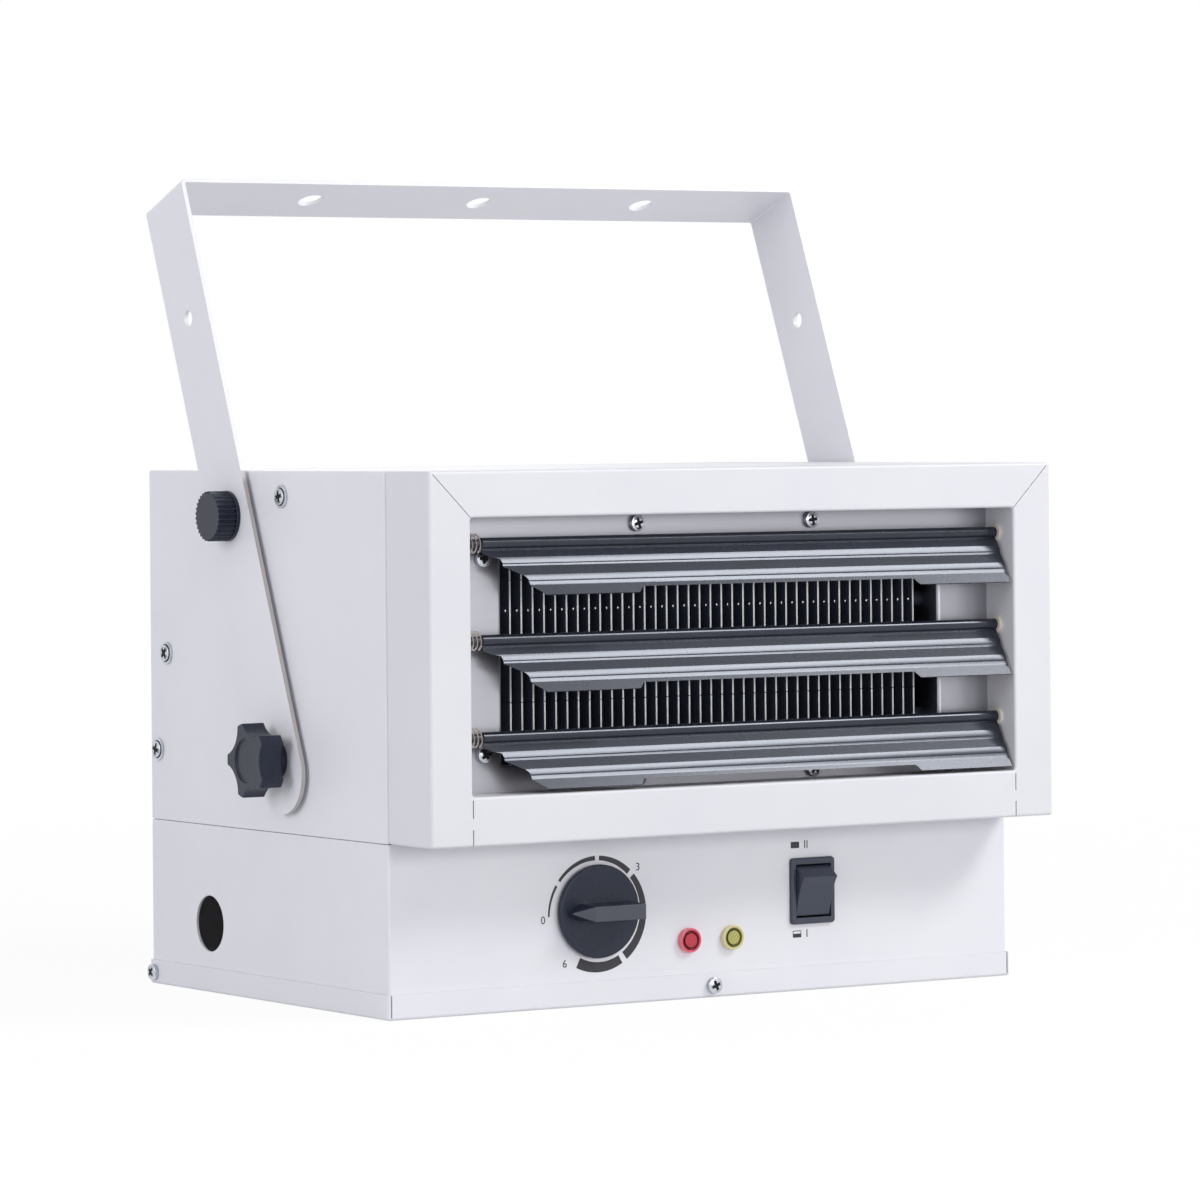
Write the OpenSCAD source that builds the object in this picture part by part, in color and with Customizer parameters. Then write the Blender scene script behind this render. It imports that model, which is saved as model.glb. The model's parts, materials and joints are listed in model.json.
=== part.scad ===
// Ceiling mounted fan heater: sheet steel cabinet, finned heating elements behind
// three tilting louvers, axial fan at the back, control box below, tilting strap above.
// X runs to the right seen from the front, Y to the back and Z up.
// The origin is the centre of the flat underside of the base tray.

/* [Cabinet] */
// Width of the cabinet
body_w = 360; // [350:1:380]
// Depth of the side panels, from the front frame to the back
box_d = 233; // [228:1:260]
// Height from the underside of the tray to the top
body_h = 258; // [254:1:275]
// Height of the seam between the control box and the cabinet
seam_h = 82.4; // [80:0.1:86]
// Thickness of the steel sheet
sheet = 1.2; // [0.8:0.1:1.4]
// Width of the folded-in edges
fold_w = 12; // [10:1:14]
// Gap at the seams between panels
seam_gap = 0.4; // [0.2:0.1:0.8]
// Height of the upturned edge of the tray
tray_h = 12; // [11:1:16]
// Radius of the cable knockout in the left side
cable_hole_r = 13.9; // [10:0.1:15]
// Distance of the knockout from the back edge
cable_hole_back = 59.1; // [50:0.1:70]
// Height of the knockout above the base
cable_hole_z = 33.8; // [30:0.1:45]

/* [Front frame] */
// Depth of the front frame
frame_d = 40; // [38:1:50]
// Width of the side members
jamb_w = 22.7; // [20:0.1:26]
// Height of the top member
rail_top = 22.1; // [20:0.1:26]
// Height of the bottom member
rail_bottom = 23.2; // [20:0.1:26]
// Depth of the returned edges round the window
return_d = 23; // [21:0.5:26]
// Width of the slits at the mitred corners
slit_w = 0.35; // [0.2:0.05:0.6]

/* [Louvers] */
// Distance of the louver pivots behind the frame's face
louver_back = 14; // [13:0.5:16]
// Distance of the upper pivot below the top of the window
louver_drop = 12.3; // [10:0.1:15]
// Distance of the lower pivot above the bottom of the window
louver_foot = 26.5; // [26:0.1:32]
// Radius of the rolled tube along the top of a louver
louver_tube_r = 2.75; // [2.6:0.05:3.2]
// Thickness of the blade
louver_t = 1.2; // [0.8:0.1:1.5]
// Space for the spring, between the left return and the louver
louver_space = 13.3; // [11:0.1:16]
// Depth of the shallower middle of the lip
lip_step = 2.6; // [1:0.1:3.5]
// Length of the deeper ends of the lip
lip_tab = 55; // [30:1:70]
// Radius of the pivot rod
rod_r = 2; // [1.5:0.1:2.2]
// Thickness of the bush collar at the right end
bush_collar = 1.8; // [1.4:0.1:2.2]

/* [Louver springs] */
// Radius of the coil, to the middle of the wire
coil_r = 4.2; // [3.8:0.1:4.6]
// Radius of the wire
wire_r = 0.55; // [0.4:0.05:0.6]
// Number of turns
coil_turns = 6; // [3:1:6]

/* [Liner and elements] */
// Width of the element window in the liner
liner_win_w = 254; // [240:1:256]
// Distance of the element window below the top of the front window
liner_win_drop = 13.4; // [12:0.1:16]
// Distance of the element window above the bottom of the front window
liner_win_foot = 12.6; // [12:0.1:16]
// Depth of the returned edges of the element window
liner_return = 5.5; // [4:0.1:5.5]
// Distance from the liner's back to the front edges of the fins
fin_gap = 6.3; // [6:0.1:8]
// Distance of the upper element below the top of the window
element_drop = 15.9; // [15:0.1:18]
// Distance between elements
element_pitch = 29; // [28:0.1:30]
// Radius of an element tube
element_r = 4; // [3:0.1:4.5]
// Distance between the two legs of an element
leg_pitch = 29; // [28:0.1:30]
// Distance between fins
fin_pitch = 6.35; // [5.5:0.05:7]
// Number of fins on an element
fin_count = 38; // [30:1:38]
// Thickness of a fin
fin_t = 0.8; // [0.4:0.1:1]

/* [Fan and motor] */
// Radius of the fan blades
fan_r = 76; // [70:0.5:77]
// Number of fan blades
blade_count = 5; // [4:1:7]
// Pitch of the fan blades
blade_angle = 32; // [25:1:38]
// Depth of the fan
fan_d = 26; // [20:1:28]
// Radius of the fan hub
hub_r = 20; // [16:0.5:22]
// Radius of the motor casing
motor_r = 44; // [40:0.5:46]
// Length of the motor casing
motor_len = 50; // [44:1:54]
// Radius of the motor shaft
shaft_r = 4; // [3:0.1:5]

/* [Mounting bracket] */
// Width of the strap
strap_w = 40; // [34:1:44]
// Thickness of the strap
strap_t = 3; // [2:0.5:4]
// Gap between the side panels and the arms
arm_gap = 1.5; // [1.2:0.1:1.8]
// Backward lean of the arms as shown
lean = 22; // [15:1:28]
// Distance of the pivot behind the front of the side panels
pivot_back = 96; // [90:0.5:100]
// Height of the pivot above the base
pivot_z = 118.5; // [112:0.5:124]
// Height of the top of the strap above the pivot
strap_h = 299; // [270:1:320]
// Length of the arms below the pivot
arm_tail = 27; // [23:0.5:30]
// Inner radius of the strap's bends
bend_r = 3; // [2:0.5:6]
// Radius of the ceiling holes
ceiling_hole_r = 6.5; // [4:0.1:8]
// Distance between the ceiling holes
ceiling_pitch = 100; // [80:1:120]
// Radius of the spare holes in the arms
spare_hole_r = 4; // [3:0.1:5]
// Height of the spare holes above the pivot
spare_hole_h = 231.5; // [200:0.5:250]
// Height of the thumb screws above the pivot
thumb_h = 126.4; // [120:0.1:132]

/* [Hand knobs] */
// Outer radius of a star knob
star_r = 18.2; // [17:0.1:20]
// Thickness of the star knob's head
star_t = 12; // [9:0.5:14]
// Height of the star knob's hub
star_hub_h = 5.9; // [4:0.1:8]
// Radius of the pivot stud in the star knob
star_stud_r = 4; // [3:0.1:5]
// Radius of a thumb screw's head
thumb_r = 11.4; // [9:0.1:12]
// Thickness of a thumb screw's head
thumb_t = 10; // [6:0.1:11]
// Thickness of the flange under the thumb screw's head
thumb_collar = 1.8; // [1.2:0.1:3]
// Radius of a thumb screw's stud
thumb_stud_r = 3; // [2.5:0.1:4]

/* [Controls] */
// Distance of the thermostat left of the middle
dial_x = 64.5; // [60:0.1:70]
// Height of the thermostat
dial_z = 45.4; // [43:0.1:46.5]
// Radius of the thermostat knob
dial_r = 22.5; // [20:0.1:24]
// Thickness of the knob's disc
dial_t = 3; // [2.8:0.1:5]
// Height of the knob's grip above its disc
grip_h = 13.2; // [8:0.1:15]
// Width of the knob's grip
grip_w = 8.4; // [7:0.1:11]
// Radius of the thermostat shaft
spindle_r = 3; // [2.5:0.1:3.2]
// Position of the red lamp right of the middle
red_lamp_x = -11.7; // [-14:0.1:-10]
// Position of the amber lamp right of the middle
amber_lamp_x = 13.3; // [12:0.1:15]
// Height of the lamps
lamp_z = 28.5; // [26:0.1:32]
// Radius of a lamp lens
lens_r = 6; // [5.5:0.1:6.5]
// Position of the switch right of the middle
switch_x = 61.2; // [58:0.1:66]
// Height of the switch
switch_z = 48.9; // [46:0.1:50]
// Width of the switch bezel
bezel_w = 26; // [25:0.1:28]
// Height of the switch bezel
bezel_h = 32.6; // [32:0.1:34]
// Width of the rocker
rocker_w = 20; // [18:0.1:20.5]
// Half height of the rocker
rocker_half = 12.2; // [11:0.1:12.4]
// Tilt of the rocker in either position
rocker_tilt = 13; // [10:1:14]

/* [Fasteners] */
// Radius of a pan head
head_r = 4; // [3.5:0.1:4.2]
// Height of a pan head
head_h = 2.4; // [2:0.1:2.6]
// Radius of the screws' shanks
shank_r = 1.9; // [1.5:0.1:1.9]
// Length of the screws' shanks
shank_len = 6; // [5:0.5:7]
// Radius of the washers of the side screws
washer_r = 6; // [5:0.1:6.5]
// Thickness of the washers
washer_t = 1; // [0.6:0.1:1.1]

/* [Clearances] */
// Radial running clearance of pins, rods and studs
run = 0.05; // [0.02:0.01:0.09]
// Gap between the flat faces of moving pieces
face = 0.1; // [0.05:0.05:0.2]
// Radial clearance of screws in their holes
screw_fit = 0.1; // [0.05:0.05:0.3]
// Radial gap of pieces pressed on a shaft
press = 0.02; // [0.01:0.01:0.05]
// Gap round fixed pieces in cut-outs
nest = 0.1; // [0.05:0.05:0.2]

/* [Hidden] */
$fn = 48;
eps = 0.01;

// Planes of the cabinet
side_x = body_w / 2;
inner_x = side_x - sheet;
front_y = -box_d / 2;
back_y = box_d / 2;
panel_in_y = front_y + sheet;
back_in_y = back_y - sheet;
frame_y = front_y - frame_d;
shell_z = seam_h + seam_gap;
roof_z = body_h - sheet;
deck_z = seam_h - sheet;
fold_top_z = seam_h + fold_w + 1;

// Window of the front frame
win_x = side_x - jamb_w;
win_top = body_h - rail_top;
frame_z = seam_h + 0.3;
win_foot = frame_z + rail_bottom;
liner_y = frame_y + return_d;
slit_top = 10;
slit_rest = 1.6;
slit_foot = 8;
liner_back_y = liner_y + sheet;

// Louver pivots and blade
louver_y = frame_y + louver_back;
louver_pitch = (win_top - win_foot - louver_drop - louver_foot) / 2;
function louver_z(i) = win_top - louver_drop - i * louver_pitch;
louver_x0 = -win_x + louver_space;
louver_x1 = win_x - bush_collar - face;
rod_over = 3.5;
bush_r = rod_r + 1.2;

// Elements
liner_win_x = liner_win_w / 2;
liner_win_top = win_top - liner_win_drop;
liner_win_foot_z = win_foot + liner_win_foot;
fin_y = liner_back_y + fin_gap;
fin_d = 2 * leg_pitch - 1;
fin_h = element_pitch - 0.4;
leg_y0 = fin_y + fin_d / 2 - leg_pitch / 2;
function element_z(i) = win_top - element_drop - i * element_pitch;
duct_gap = 1;
duct_x = max((fin_count - 1) * fin_pitch / 2 + 13, liner_win_x + sheet + nest);
duct_top = max(element_z(0) + element_pitch / 2 + duct_gap, liner_win_top + sheet + nest);
duct_foot = min(element_z(3) - element_pitch / 2 - duct_gap, liner_win_foot_z - sheet - nest);
duct_back_y = fin_y + fin_d + 6;
leg_x0 = -duct_x - 14;
leg_x1 = duct_x + 4;
insulator_len = 6;
bus_t = 1;
bus_x = leg_x0 - insulator_len;
pin_r = 1.9;
pin_len = 14;
nut_t = 3;

// Fan and motor, placed from the back panel forwards
fan_z = (seam_h + body_h) / 2;
mount_t = 3;
mount_w = 60;
mount_foot = 20;
mount_space = 16.3;
motor_screw_r = 22;
motor_back_y = back_in_y - mount_space - mount_foot;
motor_y = motor_back_y - motor_len;
motor_gap = 12;
fan_y = motor_y - motor_gap - fan_d;
fan_gap = 3;
shroud_y = fan_y - fan_gap;
shroud_r = fan_r + 5;
collar_d = fan_d + 6;
blade_chord = 46;
blade_t = 1.8;
cap_t = 6;
cap_lip = 3;
bearing_r = shaft_r + 4;
bearing_len = 8;
casing_wall = 3;
stator_in_r = 23;
guard_r = shroud_r - 3;
guard_wire = 1.3;
guard_eye_t = 2;

// Bracket and knobs
rib_r = 0.6;
pivot_y = front_y + pivot_back;
arm_in = side_x + arm_gap;
arm_out = arm_in + strap_t;
arm_end_r = strap_w / 2;
rivet_r = star_stud_r + 1.5;
// Scoops between the lobes of a star knob: their radius, and their bottom's distance from the axis
star_lobes = 5;
scoop_r = 14.1;
scoop_bottom = star_r - 5;
star_neck_r = 9.1;
star_dish_r = 10.8;
rivet_head_r = rivet_r + 2;
rivet_head_t = 0.9;
rivet_len = 12;
stud_grip = 6;
stud_out = arm_out + face - side_x + star_hub_h + stud_grip;
pivot_washer_r = 14;

// Fixings: distance from the front or back edge, and height
side_points = [
    [pivot_y + 2.1, body_h - 12.6],
    [back_y - 17.2, body_h - 91.6],
    [back_y - 7.6, body_h - 140.1]
];
shroud_fold = 18;
back_fold = 26;
tray_screw_y = back_y - 3.8;
tray_screw_z = 5.9;
tray_out = side_x + nest + sheet;
tray_front = front_y - nest - sheet;
tray_back = back_y + nest + sheet;
front_screw_x = 2;
relief_w = 0.8;
liner_screw_points = [
    [-50.7, win_top - head_r - 0.3], [50.7, win_top - head_r - 0.3],
    [-50.7, win_foot + head_r + 0.3], [50.7, win_foot + head_r + 0.3],
    [-137.6, win_top - 19.6], [137.6, win_top - 19.6],
    [-137.6, win_foot + 18], [137.6, win_foot + 18]
];
frame_screw_points = [
    [-side_x + 7, win_foot + 20], [-side_x + 7, win_top - 20], [side_x - 7, win_foot + 20],
    [side_x - 7, win_top - 20], [-90, body_h - 7], [90, body_h - 7]
];
guard_screw_points = [for (a = [45 : 90 : 315]) [(guard_r + 8) * cos(a), (guard_r + 8) * sin(a)]];

// Controls
bushing_r = spindle_r + 2;
bushing_out = 1;
knob_gap = 0.8;
spindle_in = 18;
grip_half = 18;
bore_depth = dial_t + 8;
thermostat_w = 44;
thermostat_d = 30;
lamp_stem_r = lens_r - 1.1;
lamp_holder_r = lens_r + 1;
bezel_t = 2.2;
switch_w = bezel_w - 3.6;
switch_h = bezel_h - 3;
switch_d = 24;
tab_len = 8;
rocker_y = front_y + 0.2;
trunnion_r = 1.5;
rocker_rise = 5.2;
grommet_x = -150;
grommet_y = -60;
grommet_r = 10;

// Places a child so that its own +Z points away from the named side
module facing_front(x, y, z) translate([x, y, z]) rotate([90, 0, 0]) children();
module facing_back(x, y, z) translate([x, y, z]) rotate([-90, 0, 0]) children();
module facing_left(x, y, z) translate([x, y, z]) rotate([0, -90, 0]) children();
module facing_right(x, y, z) translate([x, y, z]) rotate([0, 90, 0]) children();
module facing_side(s, x, y, z) translate([s * x, y, z]) rotate([0, s * 90, 0]) children();

// A box from its low corner to its high corner
module span(low, high) translate(low) cube(high - low);

// A box on side s, from the distance near to the distance far off the middle
module side_span(s, near, far, low, high)
    translate([s > 0 ? near : -far, low[0], low[1]]) cube([far - near, high[0] - low[0], high[1] - low[1]]);

// A rod between two points
module bar(a, b, r) {
    d = b - a;
    translate(a) rotate([0, acos(d.z / norm(d)), atan2(d.y, d.x)]) cylinder(r = r, h = norm(d));
}

// Tube swept along points, its rings carried from one end to the other without twisting
tube_sides = 6;
function unit(v) = v / norm(v);
function tangent(path, i) = let (last = len(path) - 1) unit(
    unit(path[min(i + 1, last)] - path[min(i, last - 1)]) + unit(path[max(i, 1)] - path[max(i - 1, 0)]));
function carried(u, t) = unit(u - (u * t) * t);
function tube_ring(centre, t, u, r) = [for (j = [0 : tube_sides - 1])
    centre + r * (cos(360 * j / tube_sides) * u + sin(360 * j / tube_sides) * cross(t, u))];
function tube_points(path, r, start) = [
    for (i = 0, u = carried(start, tangent(path, 0)); i < len(path);
        i = i + 1, u = i < len(path) ? carried(u, tangent(path, i)) : u)
    each tube_ring(path[i], tangent(path, i), u, r)];
function ring_point(i, j) = i * tube_sides + j % tube_sides;
function tube_cap(i, turn) = [for (j = [1 : tube_sides - 2])
    [ring_point(i, 0), ring_point(i, j + turn), ring_point(i, j + 1 - turn)]];
function tube_faces(last) = concat(tube_cap(0, 0), tube_cap(last, 1),
    [for (i = [0 : last - 1], j = [0 : tube_sides - 1])
        [ring_point(i, j), ring_point(i + 1, j + 1), ring_point(i, j + 1)]],
    [for (i = [0 : last - 1], j = [0 : tube_sides - 1])
        [ring_point(i, j), ring_point(i + 1, j), ring_point(i + 1, j + 1)]]);
module tube(path, r, start = [0.3, 0.2, 1])
    polyhedron(points = tube_points(path, r, start), faces = tube_faces(len(path) - 1));

// Pan head screw, its seat at z = 0 and its head above
module pan_screw(length = shank_len) {
    difference() {
        union() {
            cylinder(r = head_r, h = head_h * 0.45);
            translate([0, 0, head_h * 0.45]) cylinder(r1 = head_r, r2 = head_r * 0.62, h = head_h * 0.55);
            translate([0, 0, -length]) cylinder(r = shank_r, h = length + eps);
        }
        for (a = [0, 90]) rotate([0, 0, a])
            translate([-head_r * 0.5, -0.4, head_h * 0.4]) cube([head_r, 0.8, head_h]);
    }
}

module screw_hole() translate([0, 0, -shank_len - 4]) cylinder(r = shank_r + screw_fit, h = shank_len + 8);

// ---- Cabinet ----

module side_holes() {
    for (s = [-1, 1]) {
        for (p = side_points) facing_side(s, side_x, p[0], p[1]) screw_hole();
        facing_side(s, side_x, pivot_y, pivot_z)
            translate([0, 0, -fold_w]) cylinder(r = rivet_r + nest, h = 2 * fold_w);
    }
}

module cabinet_shell() color("white") difference() {
    span([-side_x, front_y + seam_gap, shell_z], [side_x, back_y, body_h]);
    span([-inner_x, panel_in_y + seam_gap, 0], [inner_x, back_y + 1, roof_z]);
    span([-side_x + fold_w, front_y - 1, 0], [side_x - fold_w, back_y, body_h - fold_w]);
    side_holes();
    for (p = frame_screw_points) facing_front(p[0], front_y, p[1]) screw_hole();
}

module ring_box(x, z0, z1, y0, y1, wall) difference() {
    span([-x, y0, z0], [x, y1, z1]);
    span([-x + wall, y0 - 1, z0 + wall], [x - wall, y1 + 1, z1 - wall]);
}

module front_frame() color("white") difference() {
    union() {
        difference() {
            span([-side_x, frame_y, frame_z], [side_x, frame_y + sheet, body_h]);
            span([-win_x, frame_y - 1, win_foot], [win_x, frame_y + sheet + 1, win_top]);
        }
        ring_box(side_x, frame_z, body_h, frame_y, front_y, sheet);
        ring_box(win_x + sheet, win_foot - sheet, win_top + sheet, frame_y, liner_y, sheet);
        ring_box(side_x, frame_z, body_h, front_y - sheet, front_y, fold_w);
    }
    // mitre slits at the top corners
    for (s = [-1, 1]) translate([s * win_x, frame_y - 1, win_top]) rotate([0, s * -45, 0])
        translate([-slit_w / 2, 0, -eps]) cube([slit_w, sheet + 1.5, norm([jamb_w, rail_top]) - 2.5]);
    // short slits at the bottom corners, with a welded bridge between them
    for (s = [-1, 1]) {
        side_span(s, win_x - slit_w / 2, win_x + slit_w / 2,
            [frame_y - 1, win_foot - slit_top], [frame_y + sheet + 1, win_foot - slit_rest]);
        side_span(s, win_x - slit_w / 2, win_x + slit_w / 2,
            [frame_y - 1, frame_z - 1], [frame_y + sheet + 1, frame_z + slit_foot]);
    }
    // bearings of the louver rods
    for (i = [0 : 2]) {
        facing_left(-win_x + 1, louver_y, louver_z(i)) cylinder(r = rod_r + run, h = sheet + 2);
        facing_right(win_x - 1, louver_y, louver_z(i)) cylinder(r = bush_r + nest, h = sheet + 2);
    }
    for (p = frame_screw_points) facing_front(p[0], front_y, p[1]) screw_hole();
}

module partition_plate() color("silver") difference() {
    union() {
        span([-inner_x, panel_in_y, deck_z], [inner_x, back_in_y, seam_h]);
        for (s = [-1, 1]) side_span(s, inner_x - sheet, inner_x,
            [panel_in_y + seam_gap + sheet, deck_z], [back_in_y, seam_h + fold_w]);
    }
    translate([grommet_x, grommet_y, deck_z - 1]) cylinder(r = grommet_r + nest, h = sheet + 2);
}

module back_panel() color("white") difference() {
    union() {
        span([-inner_x, back_in_y, sheet], [inner_x, back_y, roof_z]);
        for (s = [-1, 1]) {
            side_span(s, inner_x - sheet, inner_x, [back_y - back_fold, fold_top_z], [back_y, roof_z]);
            side_span(s, inner_x - sheet, inner_x, [back_y - fold_w, sheet], [back_y, deck_z - 1]);
        }
        span([-inner_x, back_y - fold_w, roof_z - sheet], [inner_x, back_y, roof_z]);
    }
    facing_front(0, back_y + 1, fan_z) cylinder(r = guard_r, h = sheet + 2);
    for (p = guard_screw_points) facing_back(p[0], back_y, fan_z + p[1]) screw_hole();
    for (i = [-4 : 4], x = [i * 24]) span([x - 8, back_in_y - 1, 26], [x + 8, back_y + 1, 29.5]);
    for (i = [-4 : 4], x = [i * 24]) span([x - 8, back_in_y - 1, 38], [x + 8, back_y + 1, 41.5]);
    side_holes();
    for (s = [-1, 1]) facing_side(s, side_x, tray_screw_y, tray_screw_z) screw_hole();
}

module control_box() color("white") difference() {
    union() {
        span([-side_x, front_y, sheet], [side_x, panel_in_y, seam_h]);
        for (s = [-1, 1]) side_span(s, inner_x, side_x, [front_y, sheet], [back_y, seam_h]);
    }
    facing_left(-inner_x + 1, back_y - cable_hole_back, cable_hole_z)
        cylinder(r = cable_hole_r, h = sheet + 2);
    facing_front(-dial_x, panel_in_y + 1, dial_z) cylinder(r = bushing_r + nest, h = sheet + 2);
    for (x = [red_lamp_x, amber_lamp_x])
        facing_front(x, panel_in_y + 1, lamp_z) cylinder(r = lamp_stem_r + nest, h = sheet + 2);
    span([switch_x - switch_w / 2 - nest, front_y - 1, switch_z - switch_h / 2 - nest],
        [switch_x + switch_w / 2 + nest, panel_in_y + 1, switch_z + switch_h / 2 + nest]);
    facing_front(front_screw_x, front_y, tray_screw_z) screw_hole();
    for (s = [-1, 1]) facing_side(s, side_x, tray_screw_y, tray_screw_z) screw_hole();
}

module bottom_tray() color("white") difference() {
    span([-tray_out, tray_front, 0], [tray_out, tray_back, tray_h]);
    span([-side_x - nest, front_y - nest, sheet], [side_x + nest, back_y + nest, tray_h + 1]);
    // relief slits at the corners of the upturned edge
    for (s = [-1, 1]) {
        side_span(s, side_x - relief_w, side_x, [tray_front - 1, sheet], [front_y - nest + eps, tray_h + 1]);
        side_span(s, side_x - relief_w, side_x, [back_y + nest - eps, sheet], [tray_back + 1, tray_h + 1]);
    }
    facing_front(front_screw_x, front_y - nest - sheet, tray_screw_z) screw_hole();
    for (s = [-1, 1]) facing_side(s, side_x, tray_screw_y, tray_screw_z) screw_hole();
}

// ---- Heating section ----

module liner_plate() color("lightgray") difference() {
    union() {
        span([-win_x - fold_w, liner_y, win_foot - fold_w], [win_x + fold_w, liner_back_y, win_top + fold_w]);
        ring_box(liner_win_x + sheet, liner_win_foot_z - sheet, liner_win_top + sheet,
            liner_y, liner_back_y + liner_return, sheet);
    }
    span([-liner_win_x, liner_y - 1, liner_win_foot_z], [liner_win_x, liner_back_y + 1, liner_win_top]);
    for (p = liner_screw_points) facing_front(p[0], liner_y, p[1]) screw_hole();
}

module element_housing() color("gray") difference() {
    union() {
        span([-duct_x - 16, liner_back_y, win_foot - 6], [duct_x + 16, liner_back_y + sheet, win_top + 6]);
        ring_box(duct_x + sheet, duct_foot - sheet, duct_top + sheet, liner_back_y, duct_back_y, sheet);
    }
    span([-duct_x, liner_back_y - 1, liner_win_foot_z - sheet - 0.3],
        [duct_x, liner_back_y + sheet + 1, liner_win_top + sheet + 0.3]);
    for (p = liner_screw_points) facing_front(p[0], liner_y, p[1]) screw_hole();
    for (i = [0 : 3], y = [leg_y0, leg_y0 + leg_pitch]) translate([0, y, element_z(i)])
        facing_right(-duct_x - 2 * sheet, 0, 0) cylinder(r = element_r + nest, h = 2 * duct_x + 4 * sheet);
}

// A hairpin tube with a row of plain fins
module heating_element(i) color("dimgray") translate([0, leg_y0, element_z(i)]) {
    for (y = [0, leg_pitch]) {
        translate([leg_x0, y, 0]) rotate([0, 90, 0]) cylinder(r = element_r, h = leg_x1 - leg_x0);
        translate([leg_x0 - pin_len, y, 0]) rotate([0, 90, 0]) cylinder(r = pin_r, h = pin_len + 1);
    }
    translate([leg_x1, leg_pitch / 2, 0]) rotate([0, 0, -90]) rotate_extrude(angle = 180)
        translate([leg_pitch / 2, 0]) circle(r = element_r);
    for (k = [0 : fin_count - 1], x = [(k - (fin_count - 1) / 2) * fin_pitch])
        span([x - fin_t / 2, fin_y - leg_y0, -fin_h / 2], [x + fin_t / 2, fin_y - leg_y0 + fin_d, fin_h / 2]);
}

module heating_element_1() heating_element(0);
module heating_element_2() heating_element(1);
module heating_element_3() heating_element(2);
module heating_element_4() heating_element(3);

module at_terminals() for (i = [0 : 3], y = [0, leg_pitch])
    translate([leg_x0, leg_y0 + y, element_z(i)]) rotate([0, -90, 0]) children();

module terminal_insulators() color("ivory") at_terminals() difference() {
    cylinder(r = element_r + 0.8, h = insulator_len);
    translate([0, 0, -1]) cylinder(r = pin_r + nest, h = insulator_len + 2);
}

module terminal_nuts() color("silver") at_terminals()
    translate([0, 0, insulator_len + bus_t]) difference() {
        cylinder(r = 4, h = nut_t, $fn = 6);
        translate([0, 0, -1]) cylinder(r = pin_r + nest, h = nut_t + 2);
    }

module bus(y, first, last) difference() {
    span([bus_x - bus_t, leg_y0 + y - 5, element_z(last) - 6], [bus_x, leg_y0 + y + 5, element_z(first) + 6]);
    for (i = [first : last]) translate([bus_x + 1, leg_y0 + y, element_z(i)])
        rotate([0, -90, 0]) cylinder(r = pin_r + nest, h = bus_t + 2);
}

module bus_bars() color("peru") {
    bus(0, 0, 3);
    bus(leg_pitch, 0, 1);
    bus(leg_pitch, 2, 3);
}

module limit_switch() color("black") {
    y = duct_back_y - 22;
    translate([0, y, duct_top + sheet]) {
        cylinder(r = 9, h = 4);
        translate([0, 0, 4 - eps]) cylinder(r = 7, h = 6);
        for (s = [-1, 1]) span([s * 4 - 0.4, -3, 9], [s * 4 + 0.4, 3, 15]);
    }
}

// ---- Fan and motor ----

module fan_shroud() color("silver") difference() {
    union() {
        span([-inner_x, shroud_y, fold_top_z], [inner_x, shroud_y + sheet, roof_z]);
        span([-inner_x + sheet + nest, shroud_y, seam_h], [inner_x - sheet - nest, shroud_y + sheet, roof_z]);
        for (s = [-1, 1]) side_span(s, inner_x - sheet, inner_x,
            [shroud_y - shroud_fold, fold_top_z], [shroud_y + sheet, roof_z]);
        facing_back(0, shroud_y, fan_z) cylinder(r = shroud_r + sheet, h = collar_d);
    }
    facing_back(0, shroud_y - 1, fan_z) cylinder(r = shroud_r, h = collar_d + 2);
    side_holes();
}

module fan_blades() color("black") facing_back(0, fan_y, fan_z) difference() {
    union() {
        cylinder(r = hub_r, h = fan_d);
        for (i = [0 : blade_count - 1]) rotate([0, 0, i * 360 / blade_count]) intersection() {
            difference() {
                cylinder(r = fan_r, h = fan_d);
                translate([0, 0, -1]) cylinder(r = hub_r - 2, h = fan_d + 2);
            }
            translate([0, 0, fan_d / 2]) rotate([blade_angle, 0, 0])
                translate([0, -blade_chord / 2, -blade_t / 2]) cube([fan_r, blade_chord, blade_t]);
        }
    }
    translate([0, 0, -1]) cylinder(r = shaft_r + press, h = fan_d + 2);
    translate([0, 0, 4]) difference() {
        cylinder(r = hub_r - 3, h = fan_d);
        translate([0, 0, -1]) cylinder(r = shaft_r + 4, h = fan_d + 2);
    }
}

module motor_casing() color("gray") facing_back(0, motor_y, fan_z) difference() {
    translate([0, 0, cap_t]) cylinder(r = motor_r, h = motor_len - cap_t);
    translate([0, 0, cap_t - 1]) cylinder(r = motor_r - casing_wall, h = motor_len - cap_t + 1 - casing_wall);
    translate([0, 0, motor_len - 4]) cylinder(r = bearing_r + nest, h = 10);
    for (a = [0 : 40 : 320]) rotate([0, 0, a]) translate([motor_r, 0, motor_len - 14])
        cube([2 * casing_wall + 4, 5, 12], center = true);
    for (a = [45 : 90 : 315]) rotate([0, 0, a]) translate([motor_screw_r, 0, motor_len + mount_t - shank_len])
        cylinder(r = shank_r + screw_fit, h = shank_len + 8);
}

module motor_end_cap() color("gray") facing_back(0, motor_y, fan_z) difference() {
    union() {
        cylinder(r = motor_r, h = cap_t);
        cylinder(r = motor_r - casing_wall - nest, h = cap_t + cap_lip);
    }
    translate([0, 0, cap_t / 2]) cylinder(r = motor_r - casing_wall - 4, h = cap_t + cap_lip);
    translate([0, 0, -1]) cylinder(r = bearing_r + nest, h = cap_t + cap_lip + 2);
}

module motor_bearings() color("goldenrod") for (z = [0, motor_len - bearing_len])
    facing_back(0, motor_y + z, fan_z) difference() {
        cylinder(r = bearing_r, h = bearing_len);
        translate([0, 0, -1]) cylinder(r = shaft_r + run, h = bearing_len + 2);
    }

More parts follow.
